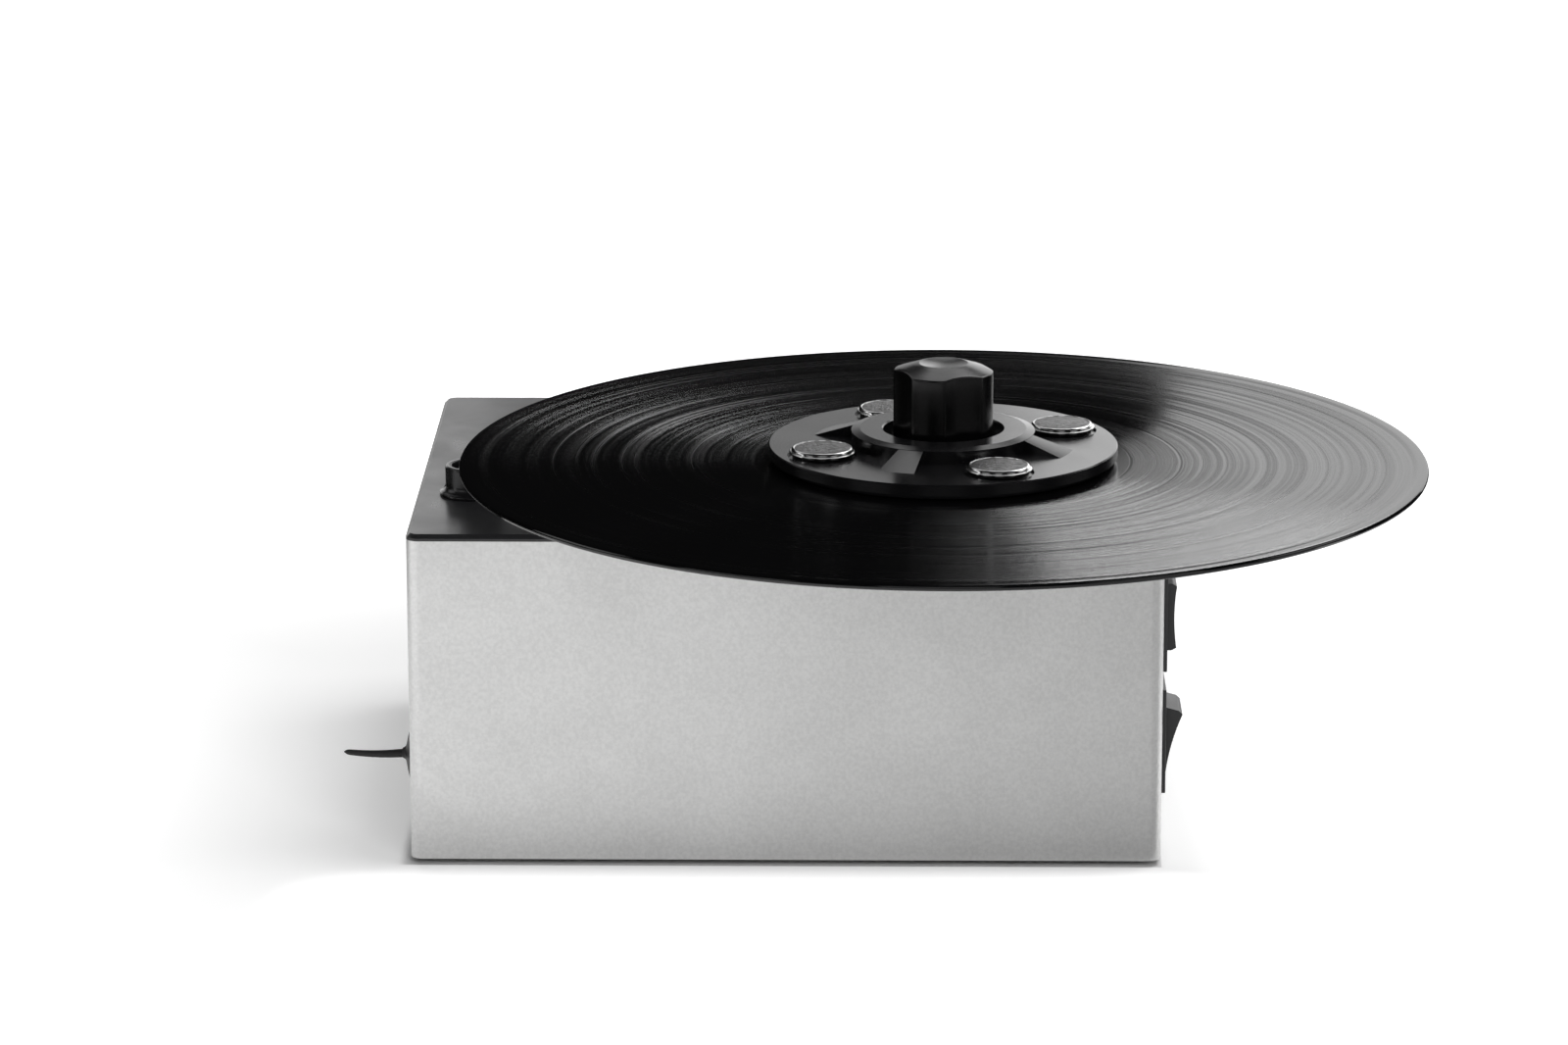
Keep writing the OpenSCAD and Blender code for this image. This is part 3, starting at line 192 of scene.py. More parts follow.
def round_point(r, angle, height):
    """Radius and height in millimetres, angle in radians."""
    return Vector((r * math.cos(angle) * MM, r * math.sin(angle) * MM, height * MM))


def skin(bm, rows, back_to_first=True, closed_row=True):
    """Lays quads between neighbouring rows of vertices."""
    for here, there in zip(rows, rows[1:] + rows[:1] if back_to_first else rows[1:]):
        for i in range(len(here) if closed_row else len(here) - 1):
            j = (i + 1) % len(here)
            bm.faces.new((here[i], there[i], there[j], here[j]))


def spin(bm, corners, turns=128, steps=4, place=Matrix.Identity(4)):
    section = rounded_section(corners, steps)
    skin(bm, [[bm.verts.new(place @ round_point(r, 2 * math.pi * k / turns, h)) for r, h in section]
              for k in range(turns)])


def turned(name, corners, at, turns=128, steps=4, smooth_to=35):
    bm = bmesh.new()
    spin(bm, corners, turns, steps)
    return finish_mesh(bm, name, smooth_to, at)


# %% Tool: round the sharp edges of a solid
WELD = 2e-6
FLAT_WITHIN = math.radians(0.4)
ALL_SMOOTH = 180


def melt_flats(bm):
    """Joins the triangles of each flat face into one face."""
    bmesh.ops.remove_doubles(bm, verts=bm.verts, dist=WELD)
    bmesh.ops.dissolve_limit(bm, angle_limit=FLAT_WITHIN, verts=bm.verts, edges=bm.edges)


def round_edges(piece, edge_mm, segments, angle):
    """Bevels every edge over the angle, and keeps the shading of the flat faces flat."""
    rounding = piece.modifiers.new("rounded edges", "BEVEL")
    rounding.width = edge_mm * MM
    rounding.segments = segments
    rounding.limit_method = "ANGLE"
    rounding.angle_limit = math.radians(angle)
    shading = piece.modifiers.new("flat faces stay flat", "WEIGHTED_NORMAL")
    shading.mode = "FACE_AREA_WITH_ANGLE"
    shading.weight = 100


def softened(node, name, edge_mm, segments=2, angle=28):
    bm = bmesh.new()
    bm.from_mesh(frame["nodes"][node].data)
    melt_flats(bm)
    piece = finish_mesh(bm, name, ALL_SMOOTH)
    round_edges(piece, edge_mm, segments, angle)
    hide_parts(node)
    print(name, len(piece.data.polygons), "faces before rounding")
    return piece


# %% [markdown]
# ## Shared surface effects
#
# Three effects are shared by the finishes: a fine grain, faint marks from handling, and the rings that
# a lathe leaves. Each is a node group that puts out plain values, so that one effect can be tuned per
# finish by its inputs. Nodes are fed as they are made, which keeps each effect down to a few lines.

# %% Tool: add nodes and feed them


def feed(node, inputs):
    """Gives each input, by name or number, a constant or another node's output."""
    for key, value in inputs.items():
        if isinstance(value, bpy.types.NodeSocket):
            node.id_data.links.new(value, node.inputs[key])
        else:
            node.inputs[key].default_value = value
    return node


def add_node(nodes, kind, inputs={}, **settings):
    new = nodes.new("ShaderNode" + kind)
    for key, value in settings.items():
        setattr(new, key, value)
    return feed(new, inputs)


def calc(nodes, operation, *values, kind="Math", output=0):
    """One step of arithmetic; kind VectorMath does it on vectors."""
    return add_node(nodes, kind, dict(enumerate(values)), operation=operation).outputs[output]


def map_range(nodes, value, from_range=(0, 1), to_range=(0, 1), curve="LINEAR"):
    inputs = {"Value": value, "From Min": from_range[0], "From Max": from_range[1],
              "To Min": to_range[0], "To Max": to_range[1]}
    return add_node(nodes, "MapRange", inputs, interpolation_type=curve).outputs["Result"]


def noise(nodes, inputs, **settings):
    return add_node(nodes, "TexNoise", inputs, **settings).outputs["Fac"]


def object_point(nodes):
    return add_node(nodes, "TexCoord").outputs["Object"]


def flattened(nodes, vector):
    return calc(nodes, "MULTIPLY", vector, (1, 1, 0), kind="VectorMath")


def length(nodes, vector):
    return calc(nodes, "LENGTH", vector, kind="VectorMath", output="Value")


# %% Tool: an empty node group


def effect_group(name, inputs, outputs):
    """Returns the group, what comes in, and the node that takes what goes out."""
    group = bpy.data.node_groups.new(name, "ShaderNodeTree")
    for label, value in inputs.items():
        kind = "NodeSocketVector" if isinstance(value, tuple) else "NodeSocketFloat"
        group.interface.new_socket(name=label, in_out="INPUT", socket_type=kind).default_value = value
    for label in outputs:
        group.interface.new_socket(name=label, in_out="OUTPUT", socket_type="NodeSocketFloat")
    return group, group.nodes.new("NodeGroupInput").outputs, group.nodes.new("NodeGroupOutput")


# %% Effect: fine grain
grain_group, grain_in, grain_out = effect_group("Fine grain", {"Grain size": 0.4}, ("Height", "Speckle"))
nodes = grain_group.nodes
point = object_point(nodes)
per_metre = calc(nodes, "DIVIDE", 1 / MM, grain_in["Grain size"])
SPECKLE_COARSER = 0.45
wider = calc(nodes, "MULTIPLY", per_metre, SPECKLE_COARSER)
speckle = noise(nodes, {"Vector": point, "Scale": wider, "Detail": 1})
feed(grain_out, {"Height": noise(nodes, {"Vector": point, "Scale": per_metre, "Detail": 2}),
                 "Speckle": map_range(nodes, speckle, (0.3, 0.7))})
print("group", grain_group.name)

# %% Effect: faint marks from handling
marks_group, marks_in, marks_out = effect_group("Handling marks", {"Mark size": 30.0}, ("Mask",))
nodes = marks_group.nodes
per_metre = calc(nodes, "DIVIDE", 1 / MM, marks_in["Mark size"])
smears = noise(nodes, {"Vector": object_point(nodes), "Scale": per_metre, "Detail": 5, "Distortion": 0.6})
feed(marks_out, {"Mask": map_range(nodes, smears, (0.35, 0.68))})
print("group", marks_group.name)

# %% Effect: rings left by a lathe
rings_group, rings_in, rings_out = effect_group(
    "Turned rings", {"Centre": (0, 0, 0), "Pitch": 0.3}, ("Height",))
nodes = rings_group.nodes
offset = calc(nodes, "SUBTRACT", object_point(nodes), rings_in["Centre"], kind="VectorMath")
height = add_node(nodes, "SeparateXYZ", {0: offset}).outputs["Z"]
travel = calc(nodes, "ADD", length(nodes, flattened(nodes, offset)), height)
per_metre = calc(nodes, "DIVIDE", 1 / MM, rings_in["Pitch"])
along = calc(nodes, "MULTIPLY", travel, per_metre)
feed(rings_out, {"Height": noise(nodes, {"W": along, "Scale": 1, "Detail": 3}, noise_dimensions="1D")})
print("group", rings_group.name)

# %% [markdown]
# ## A finish, in general
#
# Every finish starts from the same three ideas: a colour that varies a little with the speckle, a
# roughness that varies with handling, and a bump that carries the grain. The values that don't vary,
# such as how metallic or how glossy the surface is, are written straight on the shader.

# %% Tool: start a finish
MARK_MM = 40.0


def blank_material(name):
    material = bpy.data.materials.new(name)
    material.use_nodes = True
    nodes = material.node_tree.nodes
    return material, nodes, nodes["Principled BSDF"]


def finish(name, colour, rough, metallic=0.0, specular=0.5, grain=0.4, relief=0.02, colour_swing=0.08,
           rough_swing=0.06):
    material, nodes, shader = blank_material(name)
    grained = add_node(nodes, "Group", {"Grain size": grain}, node_tree=grain_group)
    marked = add_node(nodes, "Group", {"Mark size": MARK_MM}, node_tree=marks_group)
    tint = add_node(nodes, "Mix", {
        "Factor": grained.outputs["Speckle"], "A": [c * (1 - colour_swing) for c in colour] + [1],
        "B": [c * (1 + colour_swing) for c in colour] + [1]}, data_type="RGBA")
    sheen = map_range(nodes, marked.outputs["Mask"], to_range=(rough - rough_swing, rough + rough_swing))
    bump = add_node(nodes, "Bump", {
        "Strength": 1.0, "Distance": relief * MM, "Height": grained.outputs["Height"]})
    feed(shader, {"Base Color": tint.outputs["Result"], "Roughness": sheen, "Metallic": metallic,
                  "Specular IOR Level": specular, "Normal": bump.outputs["Normal"]})
    return material


def add_rings(material, centre, pitch, relief):
    """Lays the rings of a lathe under the bump that the finish already has."""
    nodes = material.node_tree.nodes
    rings = add_node(nodes, "Group", {"Centre": centre, "Pitch": pitch}, node_tree=rings_group)
    under = add_node(nodes, "Bump", {
        "Strength": 1.0, "Distance": relief * MM, "Height": rings.outputs["Height"]})
    feed(nodes["Bump"], {"Normal": under.outputs["Normal"]})


# %% [markdown]
# ## The finishes of the machine
#
# The case is folded aluminium that was blasted with glass beads and anodised clear, so it is metallic,
# evenly rough and very finely mottled. The plate on top is satin black, the clamp is a satin moulding
# and its knob a smooth one. Inside and behind there are plated sheet, castings, rubber and plain
# technical plastics.

# %% Write the finishes
FINISHES = {
    "silver_case": finish("blasted silver", (0.7, 0.7, 0.695), 0.46, metallic=1.0, grain=0.45, relief=0.02,
                          colour_swing=0.05, rough_swing=0.03),
    "black_plate": finish("satin black sheet", (0.012, 0.012, 0.013), 0.33, grain=0.3, relief=0.004),
    "black_panel": finish("black powder coat", (0.02, 0.02, 0.021), 0.5, grain=0.7, relief=0.03),
    "plated_steel": finish("zinc plate", (0.5, 0.5, 0.49), 0.36, metallic=1.0, grain=3.0, relief=0.004,
                           colour_swing=0.1, rough_swing=0.1),
    "fasteners": finish("bright plating", (0.62, 0.62, 0.6), 0.25, metallic=1.0, grain=0.3, relief=0.003),
    "black_screws": finish("blackened steel", (0.03, 0.03, 0.032), 0.34, metallic=0.6, grain=0.3,
                           relief=0.006),
    "black_rubber": finish("black rubber", (0.018, 0.018, 0.018), 0.55, specular=0.35, grain=0.25,
                           relief=0.01),
    "cast_alloy": finish("cast alloy", (0.46, 0.46, 0.47), 0.5, metallic=1.0, grain=0.8, relief=0.05),
    "bronze": finish("sintered bronze", (0.42, 0.26, 0.12), 0.5, metallic=1.0, grain=0.25, relief=0.03,
                     colour_swing=0.25),
    "gear_brass": finish("cut brass", (0.62, 0.42, 0.16), 0.3, metallic=1.0, grain=0.3, relief=0.004),
    "natural_plastic": finish("natural plastic", (0.74, 0.72, 0.64), 0.4, grain=0.6, relief=0.006),
    "turned_steel": finish("turned steel", (0.55, 0.55, 0.55), 0.22, metallic=1.0, grain=0.4, relief=0.002),
    "clamp_plastic": finish("satin moulding", (0.004, 0.004, 0.0045), 0.22, grain=0.5, relief=0.004,
                            rough_swing=0.03),
    "knob_plastic": finish("smooth moulding", (0.002, 0.002, 0.0022), 0.22, grain=1.2, relief=0.002,
                           rough_swing=0.03),
    "bright_caps": finish("polished rim", (0.66, 0.66, 0.66), 0.14, metallic=1.0, grain=0.6, relief=0.002),
    "black_turned": finish("black turned alloy", (0.01, 0.01, 0.011), 0.28, metallic=0.3, grain=0.3,
                           relief=0.003),
    "tank_plastic": finish("milky tank plastic", (0.62, 0.62, 0.58), 0.45, grain=1.0, relief=0.02),
    "foam": finish("open foam", (0.03, 0.03, 0.03), 0.95, specular=0.1, grain=1.1, relief=0.8,
                   colour_swing=0.5),
    "switch_plastic": finish("moulded nylon", (0.016, 0.016, 0.017), 0.36, grain=0.22, relief=0.012),
    "circuit_board": finish("green laminate", (0.02, 0.13, 0.05), 0.35, grain=1.4, relief=0.01,
                            colour_swing=0.3),
    "board_components": finish("moulded cases", (0.13, 0.11, 0.06), 0.4, grain=0.6, relief=0.02,
                               colour_swing=0.3),
}
add_rings(FINISHES["turned_steel"], spindle, 0.25, 0.004)
add_rings(FINISHES["black_turned"], (0, 0, 0), 0.2, 0.004)
cap_face = finish("blasted cap face", (0.1, 0.1, 0.1), 0.36, metallic=1.0, grain=0.7, relief=0.5,
                  colour_swing=0.6)
print(len(FINISHES) + 1, "finishes")

# %% [markdown]
# ## The record's vinyl
#
# Real grooves are a tenth of a millimetre apart, far finer than a pixel. What the eye sees is their
# sum: light is thrown out across the grooves, in the direction of the radius, and stays sharp along
# them. An anisotropic shader does just that, with its tangent running round the spindle. Over it lie
# streaks, where loud and quiet passages lean the light differently, the plain bands between tracks,
# and the smooth run-out next to the label.

# %% Tool: look up a grey over the record's radius
RECORD_R = 150.77
RUN_OUT_R = 58.6
GROOVES_END_R = 144.6
TRACK_GAPS = (74.0, 88.1, 105.0, 125.5)


def grey_ramp(nodes, length_in, stops, reach):
    """Looks up a grey by a length, from 0 to reach; between stops it runs straight."""
    ramp = add_node(nodes, "ValToRGB", {"Fac": calc(nodes, "DIVIDE", length_in, reach)})
    elements = ramp.color_ramp.elements
    elements.remove(elements[-1])
    elements[0].position, elements[0].color = stops[0][0] / reach, (stops[0][1],) * 3 + (1,)
    for at, grey in stops[1:]:
        elements.new(at / reach).color = (grey,) * 3 + (1,)
    return ramp.outputs["Color"]


# %% Measure the radius in the vinyl's own nodes
vinyl, nodes, shader = blank_material("pressed vinyl")
tangent = add_node(nodes, "Tangent", direction_type="RADIAL", axis="Z").outputs["Tangent"]
flat = flattened(nodes, object_point(nodes))
outward = calc(nodes, "NORMALIZE", flat, kind="VectorMath")
radius_mm = calc(nodes, "DIVIDE", length(nodes, flat), MM)


def streaks(lines_per_mm, wander, detail):
    """Noise that changes fast across the grooves and slowly along them."""
    drift = add_node(nodes, "VectorMath", {0: outward, "Scale": wander}, operation="SCALE").outputs[0]
    parts = add_node(nodes, "SeparateXYZ", {0: drift}).outputs
    across = calc(nodes, "MULTIPLY", radius_mm, lines_per_mm)
    joined = add_node(nodes, "CombineXYZ", {"X": across, "Y": parts["X"], "Z": parts["Y"]}).outputs[0]
    return noise(nodes, {"Vector": joined, "Scale": 1, "Detail": detail})


# %% Write the vinyl
GROOVE_ROUGH, SMOOTHER, ROUGHER = 0.15, 0.09, 0.16
PLAIN_ROUGH = 0.12
GROOVE_RELIEF = 0.03
GAP_HALF, GAP_EDGE, GAP_GROOVES = 0.5, 0.4, 0.25
FINE_SHARE = 0.6
groove_stops = [(0, 0), (RUN_OUT_R, 0), (RUN_OUT_R + 0.4, 1)]
for gap in TRACK_GAPS:
    groove_stops += [(gap - GAP_HALF - GAP_EDGE, 1), (gap - GAP_HALF, GAP_GROOVES),
                     (gap + GAP_HALF, GAP_GROOVES), (gap + GAP_HALF + GAP_EDGE, 1)]
groove_stops += [(GROOVES_END_R, 1), (GROOVES_END_R + 0.6, 0.1)]
grooved = grey_ramp(nodes, radius_mm, groove_stops, RECORD_R)

both = calc(nodes, "MULTIPLY_ADD", streaks(3.2, 0.8, 1.5), FINE_SHARE, streaks(0.55, 0.5, 2))
masked = calc(nodes, "MULTIPLY", both, grooved)
lean = add_node(nodes, "Bump", {"Distance": GROOVE_RELIEF * MM, "Height": masked}).outputs["Normal"]
spread = map_range(nodes, both, (0.5, 1.1), (GROOVE_ROUGH - SMOOTHER, GROOVE_ROUGH + ROUGHER))
gloss = add_node(nodes, "Mix", {"Factor": grooved, "A": PLAIN_ROUGH, "B": spread}).outputs["Result"]
feed(shader, {"Base Color": (0.002, 0.002, 0.0022, 1), "Specular IOR Level": 0.5, "Roughness": gloss,
              "Anisotropic": 1.0, "Anisotropic Rotation": 0.25, "Tangent": tangent, "Normal": lean})
FINISHES["record_vinyl"] = vinyl
print("vinyl with", len(TRACK_GAPS) + 1, "tracks")

# %% [markdown]
# ## Dress the solids
#
# Every solid gets its finish by the material slot that the part's data sheet names for it. Pieces that
# are built further on take theirs in the same way.

# %% Give each solid its finish
slots = {row["node"]: row["material_slot"] for row in frame["record"]["subparts"]}


def dress(piece, slot, extra=()):
    piece.data.materials.clear()
    piece.data.materials.append(FINISHES[slot])
    for material in extra:
        piece.data.materials.append(material)


for name, solid in frame["nodes"].items():
    solid.data.materials.clear()
    solid.data.materials.append(FINISHES[slots[name]])
print("dressed", len(slots), "solids")

# %% [markdown]
# ## Case and plate
#
# The case is one sheet with round corners and the plate lies on it like a lid. Both shapes are right
# as solids, so they are softened copies: the fold of the sheet and the sawn edge of the plate get
# radii of a few tenths of a millimetre, and those draw the thin bright lines round the machine.

# %% Soften the sheet metal
SHEET_EDGES = {"case_wrap": 0.25, "top_plate": 0.2, "rear_panel": 0.15, "base_plate": 0.15}
for node, edge in SHEET_EDGES.items():
    sheet_metal = softened(node, node + "_sheet", edge)
    dress(sheet_metal, slots[node])
    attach(sheet_metal, "case")

# %% [markdown]
# ## Record
#
# The record is a thin pressing with a raised rim bead and a raised label area that keep the grooves
# off the turntable. Its section is drawn once and spun in fine steps, because the rim is the longest
# curve in the picture. The bands between tracks are shallow dips.

# %% Turn the record
HOLE_R, LABEL_R = 3.62, 52.0
GROOVES_SUNK = 0.2
DIP_SHAPE = ((0.6, 0), (0.5, 0), (0.3, 0.01), (-0.3, 0.01), (-0.5, 0), (-0.6, 0))
bottom, top = record_bottom / MM, record_top / MM
play_low, play_top = bottom + GROOVES_SUNK, top - GROOVES_SUNK
dips = [(GROOVES_END_R + 0.5, play_top, 0)]
for gap in reversed((RUN_OUT_R,) + TRACK_GAPS):
    dips += [(gap + step, play_top - depth, 0) for step, depth in DIP_SHAPE]
record = turned("vinyl_disc", [
    (HOLE_R, bottom, 0), (LABEL_R - 1, bottom, 0.3), (LABEL_R, play_low, 0.3),
    (RECORD_R - 4.5, play_low, 0.4), (RECORD_R - 3.2, bottom, 0.4), (RECORD_R - 0.4, bottom, 0.5),
    (RECORD_R, bottom + 0.65, 0.5), (RECORD_R, top - 0.65, 0.5), (RECORD_R - 0.4, top, 0.5),
    (RECORD_R - 3.2, top, 0.5), (RECORD_R - 4.8, play_top, 0.5), (RECORD_R - 5.2, play_top, 0)] + dips + [
    (LABEL_R + 0.6, play_top, 0), (LABEL_R, play_top, 0.3), (LABEL_R - 1, top, 0.3),
    (LABEL_R - 1.6, top, 0), (HOLE_R, top, 0)],
    spindle, turns=420, steps=5, smooth_to=25)
dress(record, "record_vinyl")
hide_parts("vinyl_record")
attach(record, "turntable")

# %% [markdown]
# ## Clamp
#
# The clamp is one moulding: a disc, a raised ring round the knob's well and four ribs, midway between
# the caps, that slope from the ring down into the disc. Almost all of it is round, so it is turned from
# one section, and only the ribs and the round seats for the caps are added and cut with exact booleans.
# The booleans are worked out before the edges are rounded, because a bevel needs the clean mesh that
# they leave. The bevel takes in every edge over eleven degrees, so the ring's shallow chamfer keeps its
# own shade.

# %% Turn the disc with its ring
PATTERN_TURN = 24.0
RIM_R, RING_EDGE_R, RING_FACE_R, WELL_R, NECK_R = 54.4, 28.6, 25.9, 18.7, 7.4
SEAL_IN_R, SEAL_OUT_R, SEAL_DEPTH = 45.9, 50.1, 1.2
WEB_T, RING_RISE, RING_CHAMFER, SEAT_DEPTH = 1.4, 0.9, 0.7, 0.8
disc_under, pad_floor, web_face = (low(node).z / MM for node in ("clamp_disc", "clamp_pads", "knob_washer"))
disc_face, web_under = pad_floor + SEAT_DEPTH, web_face - WEB_T
ring_face = high("clamp_disc").z / MM + RING_RISE
ring_edge = ring_face - RING_CHAMFER
disc = turned("turned_disc", [
    (NECK_R, web_under), (WELL_R - 1, web_under), (WELL_R, disc_under), (SEAL_IN_R, disc_under),
    (SEAL_IN_R, disc_under + SEAL_DEPTH), (SEAL_OUT_R, disc_under + SEAL_DEPTH), (SEAL_OUT_R, disc_under),
    (RIM_R - 1, disc_under), (RIM_R, disc_under + 1), (RIM_R, disc_face - 0.35), (RIM_R - 0.35, disc_face),
    (RING_EDGE_R, disc_face), (RING_EDGE_R, ring_edge), (RING_FACE_R, ring_face),
    (WELL_R + 0.4, ring_face), (WELL_R, ring_face - 0.4), (WELL_R, web_face), (NECK_R, web_face)],
    (0, 0, 0), turns=192)
print("disc", round(disc_face - disc_under, 1), "mm thick; ring rises", round(ring_face - disc_face, 1), "mm")

# %% Shape the ribs and the cutters for the caps' seats
RIB_END_R, RIB_HALF, RIB_ROOT, RIB_SUNK, RIB_STEPS = 41.2, 8.0, 1.5, 0.6, 8
SEAT_R, CAP_CIRCLE_R = 10.9, 41.0
CAP_ANGLES = [PATTERN_TURN + 90 * k for k in range(4)]


def at_cap(angle):
    return Matrix.Rotation(math.radians(angle), 4, "Z") @ Matrix.Translation((CAP_CIRCLE_R * MM, 0, 0))


rib = [(RING_EDGE_R - RIB_ROOT, disc_face - RIB_SUNK), (RIB_END_R, disc_face - RIB_SUNK),
       (RIB_END_R, disc_face), (RING_EDGE_R, ring_edge - 0.1), (RING_EDGE_R - RIB_ROOT, ring_edge - 0.1)]
seat = [(0, pad_floor), (SEAT_R, pad_floor), (SEAT_R, disc_face + 1), (0, disc_face + 1)]
bm = bmesh.new()
for angle in CAP_ANGLES:
    turns = [math.radians(angle + 45 + RIB_HALF * (2 * k / RIB_STEPS - 1)) for k in range(RIB_STEPS + 1)]
    rows = [[bm.verts.new(round_point(r, a, h)) for r, h in rib] for a in turns]
    skin(bm, rows, back_to_first=False)
    bm.faces.new(rows[0])
    bm.faces.new(rows[-1])
ribs = finish_mesh(bm, "rib_shapes", 20)
bm = bmesh.new()
for angle in CAP_ANGLES:
    spin(bm, seat, turns=72, place=at_cap(angle))
seats = finish_mesh(bm, "seat_cutters", 20)
print(len(CAP_ANGLES), "ribs and", len(CAP_ANGLES), "seats")

# %% Join the ribs, cut the seats and round the edges
for operation, cutter in (("UNION", ribs), ("DIFFERENCE", seats)):
    step = disc.modifiers.new(operation.lower(), "BOOLEAN")
    step.operation, step.object, step.solver = operation, cutter, "EXACT"
shaped = disc.evaluated_get(bpy.context.evaluated_depsgraph_get()).to_mesh()
bm = bmesh.new()
bm.from_mesh(shaped)
melt_flats(bm)
for helper in (disc, ribs, seats):
    bpy.data.objects.remove(helper)
clamp = finish_mesh(bm, "clamp_moulding", ALL_SMOOTH, spindle)
round_edges(clamp, edge_mm=0.22, segments=3, angle=11)
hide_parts("clamp_disc")
dress(clamp, "clamp_plastic")
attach(clamp, "clamp")
print("clamp", len(clamp.data.polygons), "faces before rounding")

# %% [markdown]
# ## Caps
#
# Four bright caps sit in the disc. Each is a small stack: a polished lip low down, a fine groove, a
# narrow polished ring and a blasted face, set into the ring, that rises a tenth of a millimetre over it
# in the middle. One section follows all of that and is spun about each cap's centre. The face gets its
# own finish, and the parts of the mesh that lie inside the face's radius are told to use it.

# %% Press the four caps
FACE_R, FOOT_R = 8.65, 9.3
LIP = [(FOOT_R, -1.7, 0.1), (10.0, -1.62, 0.12), (10.25, -1.4, 0.12), (10.2, -1.12, 0.15), (9.8, -1.0, 0.08)]
RING = [(9.6, -1.02, 0.05), (9.55, -0.8, 0.05), (9.62, -0.62, 0.1), (9.35, -0.2, 0.3), (8.95, 0, 0.12)]
FACE = [(8.8, -0.02, 0.05), (8.75, -0.2, 0.05), (8.6, -0.2, 0.03), (8.3, -0.1, 0.3), (5.5, 0.02, 2.0),
        (0, 0.1, 0)]
cap_top = high("clamp_pads").z / MM - 0.2
section = [(0, pad_floor), (FOOT_R, pad_floor, 0.1)]
section += [(r, cap_top + h, fillet) for r, h, fillet in LIP + RING + FACE]
bm = bmesh.new()
for angle in CAP_ANGLES:
    spin(bm, section, turns=96, place=at_cap(angle))
caps = finish_mesh(bm, "clamp_caps", 30, spindle)
dress(caps, "bright_caps", [cap_face])
axes = [at_cap(angle).translation for angle in CAP_ANGLES]
for polygon in caps.data.polygons:
    from_axis = min((polygon.center - axis).to_2d().length for axis in axes)
    on_face = from_axis < FACE_R * MM and polygon.center.z > (cap_top - 1) * MM
    polygon.material_index = 1 if on_face else 0
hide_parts("clamp_pads")
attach(caps, "clamp")
print("caps", len(CAP_ANGLES))

# %% [markdown]
# ## Clamp knob
#
# The knob is a cylinder with four broad, shallow finger flutes, a conical shoulder and a dish in its
# top. Cutting flutes with booleans leaves knife edges, so the surface is built point by point
# instead: for each direction round the knob the outer radius is the lobe or the flute, whichever is
# nearer, with a soft change between them, and the section from dish to foot follows that radius.

# %% Build the knob
LOBE_R, FLUTE_R, FLUTE_DEPTH = 15.5, 32.0, 2.0
FLUTE_ANGLES = [25.5 + 90 * k for k in range(4)]
FLUTE_SOFTNESS = 0.12
DISH_R, DISH_DEPTH = 7.5, 0.9
LIP_R, CONE_FROM_R, CONE_SLOPE = 7.85, 7.8, 2.3 / 7.2
SHOULDER, SHOULDER_DROP, FOOT_CHAMFER = 0.45, 0.5, 0.6
HUB_R, HUB_L, BORE_R, BORE_DEPTH = 7.0, 4.2, 5.0, 18
KNOB_TURNS = 288
knob_bottom, knob_top = low("clamp_knob").z / MM, high("clamp_knob").z / MM
knob_foot = knob_bottom + HUB_L


def knob_radius(angle):
    """Outer radius in millimetres: a soft minimum of the lobes' circle and the flutes."""
    centre_r = LOBE_R - FLUTE_DEPTH + FLUTE_R
    nearest = min(abs((angle - a + 180) % 360 - 180) for a in FLUTE_ANGLES)
    side = centre_r * math.sin(math.radians(nearest))
    if abs(side) >= FLUTE_R:
        return LOBE_R
    flute = centre_r * math.cos(math.radians(nearest)) - math.sqrt(FLUTE_R**2 - side**2)
    return -FLUTE_SOFTNESS * math.log(math.exp(-flute / FLUTE_SOFTNESS) + math.exp(-LOBE_R / FLUTE_SOFTNESS))


def knob_section(outer):
    """Points (radius, height) from the dish's middle to the foot's middle."""
    points = [(r, knob_top - DISH_DEPTH * (1 - (r / DISH_R) ** 2)) for r in (0, 1.5, 3, 4.5, 5.8, 6.7, 7.2)]
    points += [(7.42, knob_top - 0.03), (7.6, knob_top), (LIP_R, knob_top - 0.03)]
    for k in range(1, 5):
        r = LIP_R + (outer - SHOULDER - LIP_R) * k / 4
        points.append((r, knob_top - CONE_SLOPE * (r - CONE_FROM_R)))
    edge = knob_top - CONE_SLOPE * (outer - CONE_FROM_R)
    wall_top, wall_foot = edge - SHOULDER_DROP, knob_foot + FOOT_CHAMFER
    points += curve(Vector((outer - SHOULDER, edge + SHOULDER * CONE_SLOPE)), Vector((outer, edge)),
                    Vector((outer, wall_top)), 5)[1:]
    points += [(outer, wall_top + (wall_foot - wall_top) * k / 6) for k in range(1, 7)]
    points += [(outer - 0.2, knob_foot + 0.2), (outer - FOOT_CHAMFER, knob_foot), (HUB_R, knob_foot),
               (HUB_R, knob_bottom), (BORE_R, knob_bottom), (BORE_R, knob_bottom + BORE_DEPTH),
               (0, knob_bottom + BORE_DEPTH)]
    return points


bm = bmesh.new()
rows = []
for k in range(KNOB_TURNS):
    degrees = 360 * k / KNOB_TURNS
    section = knob_section(knob_radius(degrees))
    rows.append([bm.verts.new(round_point(r, math.radians(degrees), h)) for r, h in section])
skin(bm, rows, closed_row=False)
knob = finish_mesh(bm, "clamp_knob_moulding", 40, spindle)
dress(knob, "knob_plastic")
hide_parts("clamp_knob")
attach(knob, "knob")
print("knob", round(knob_top - knob_foot, 1), "mm tall over its foot")

# %% [markdown]
# ## Arm socket
#
# The socket for the suction arm is a turned collar. Its foot flares out in a hollow curve and its
# mouth has a fine lip, and both are nothing but the section of a lathe piece.

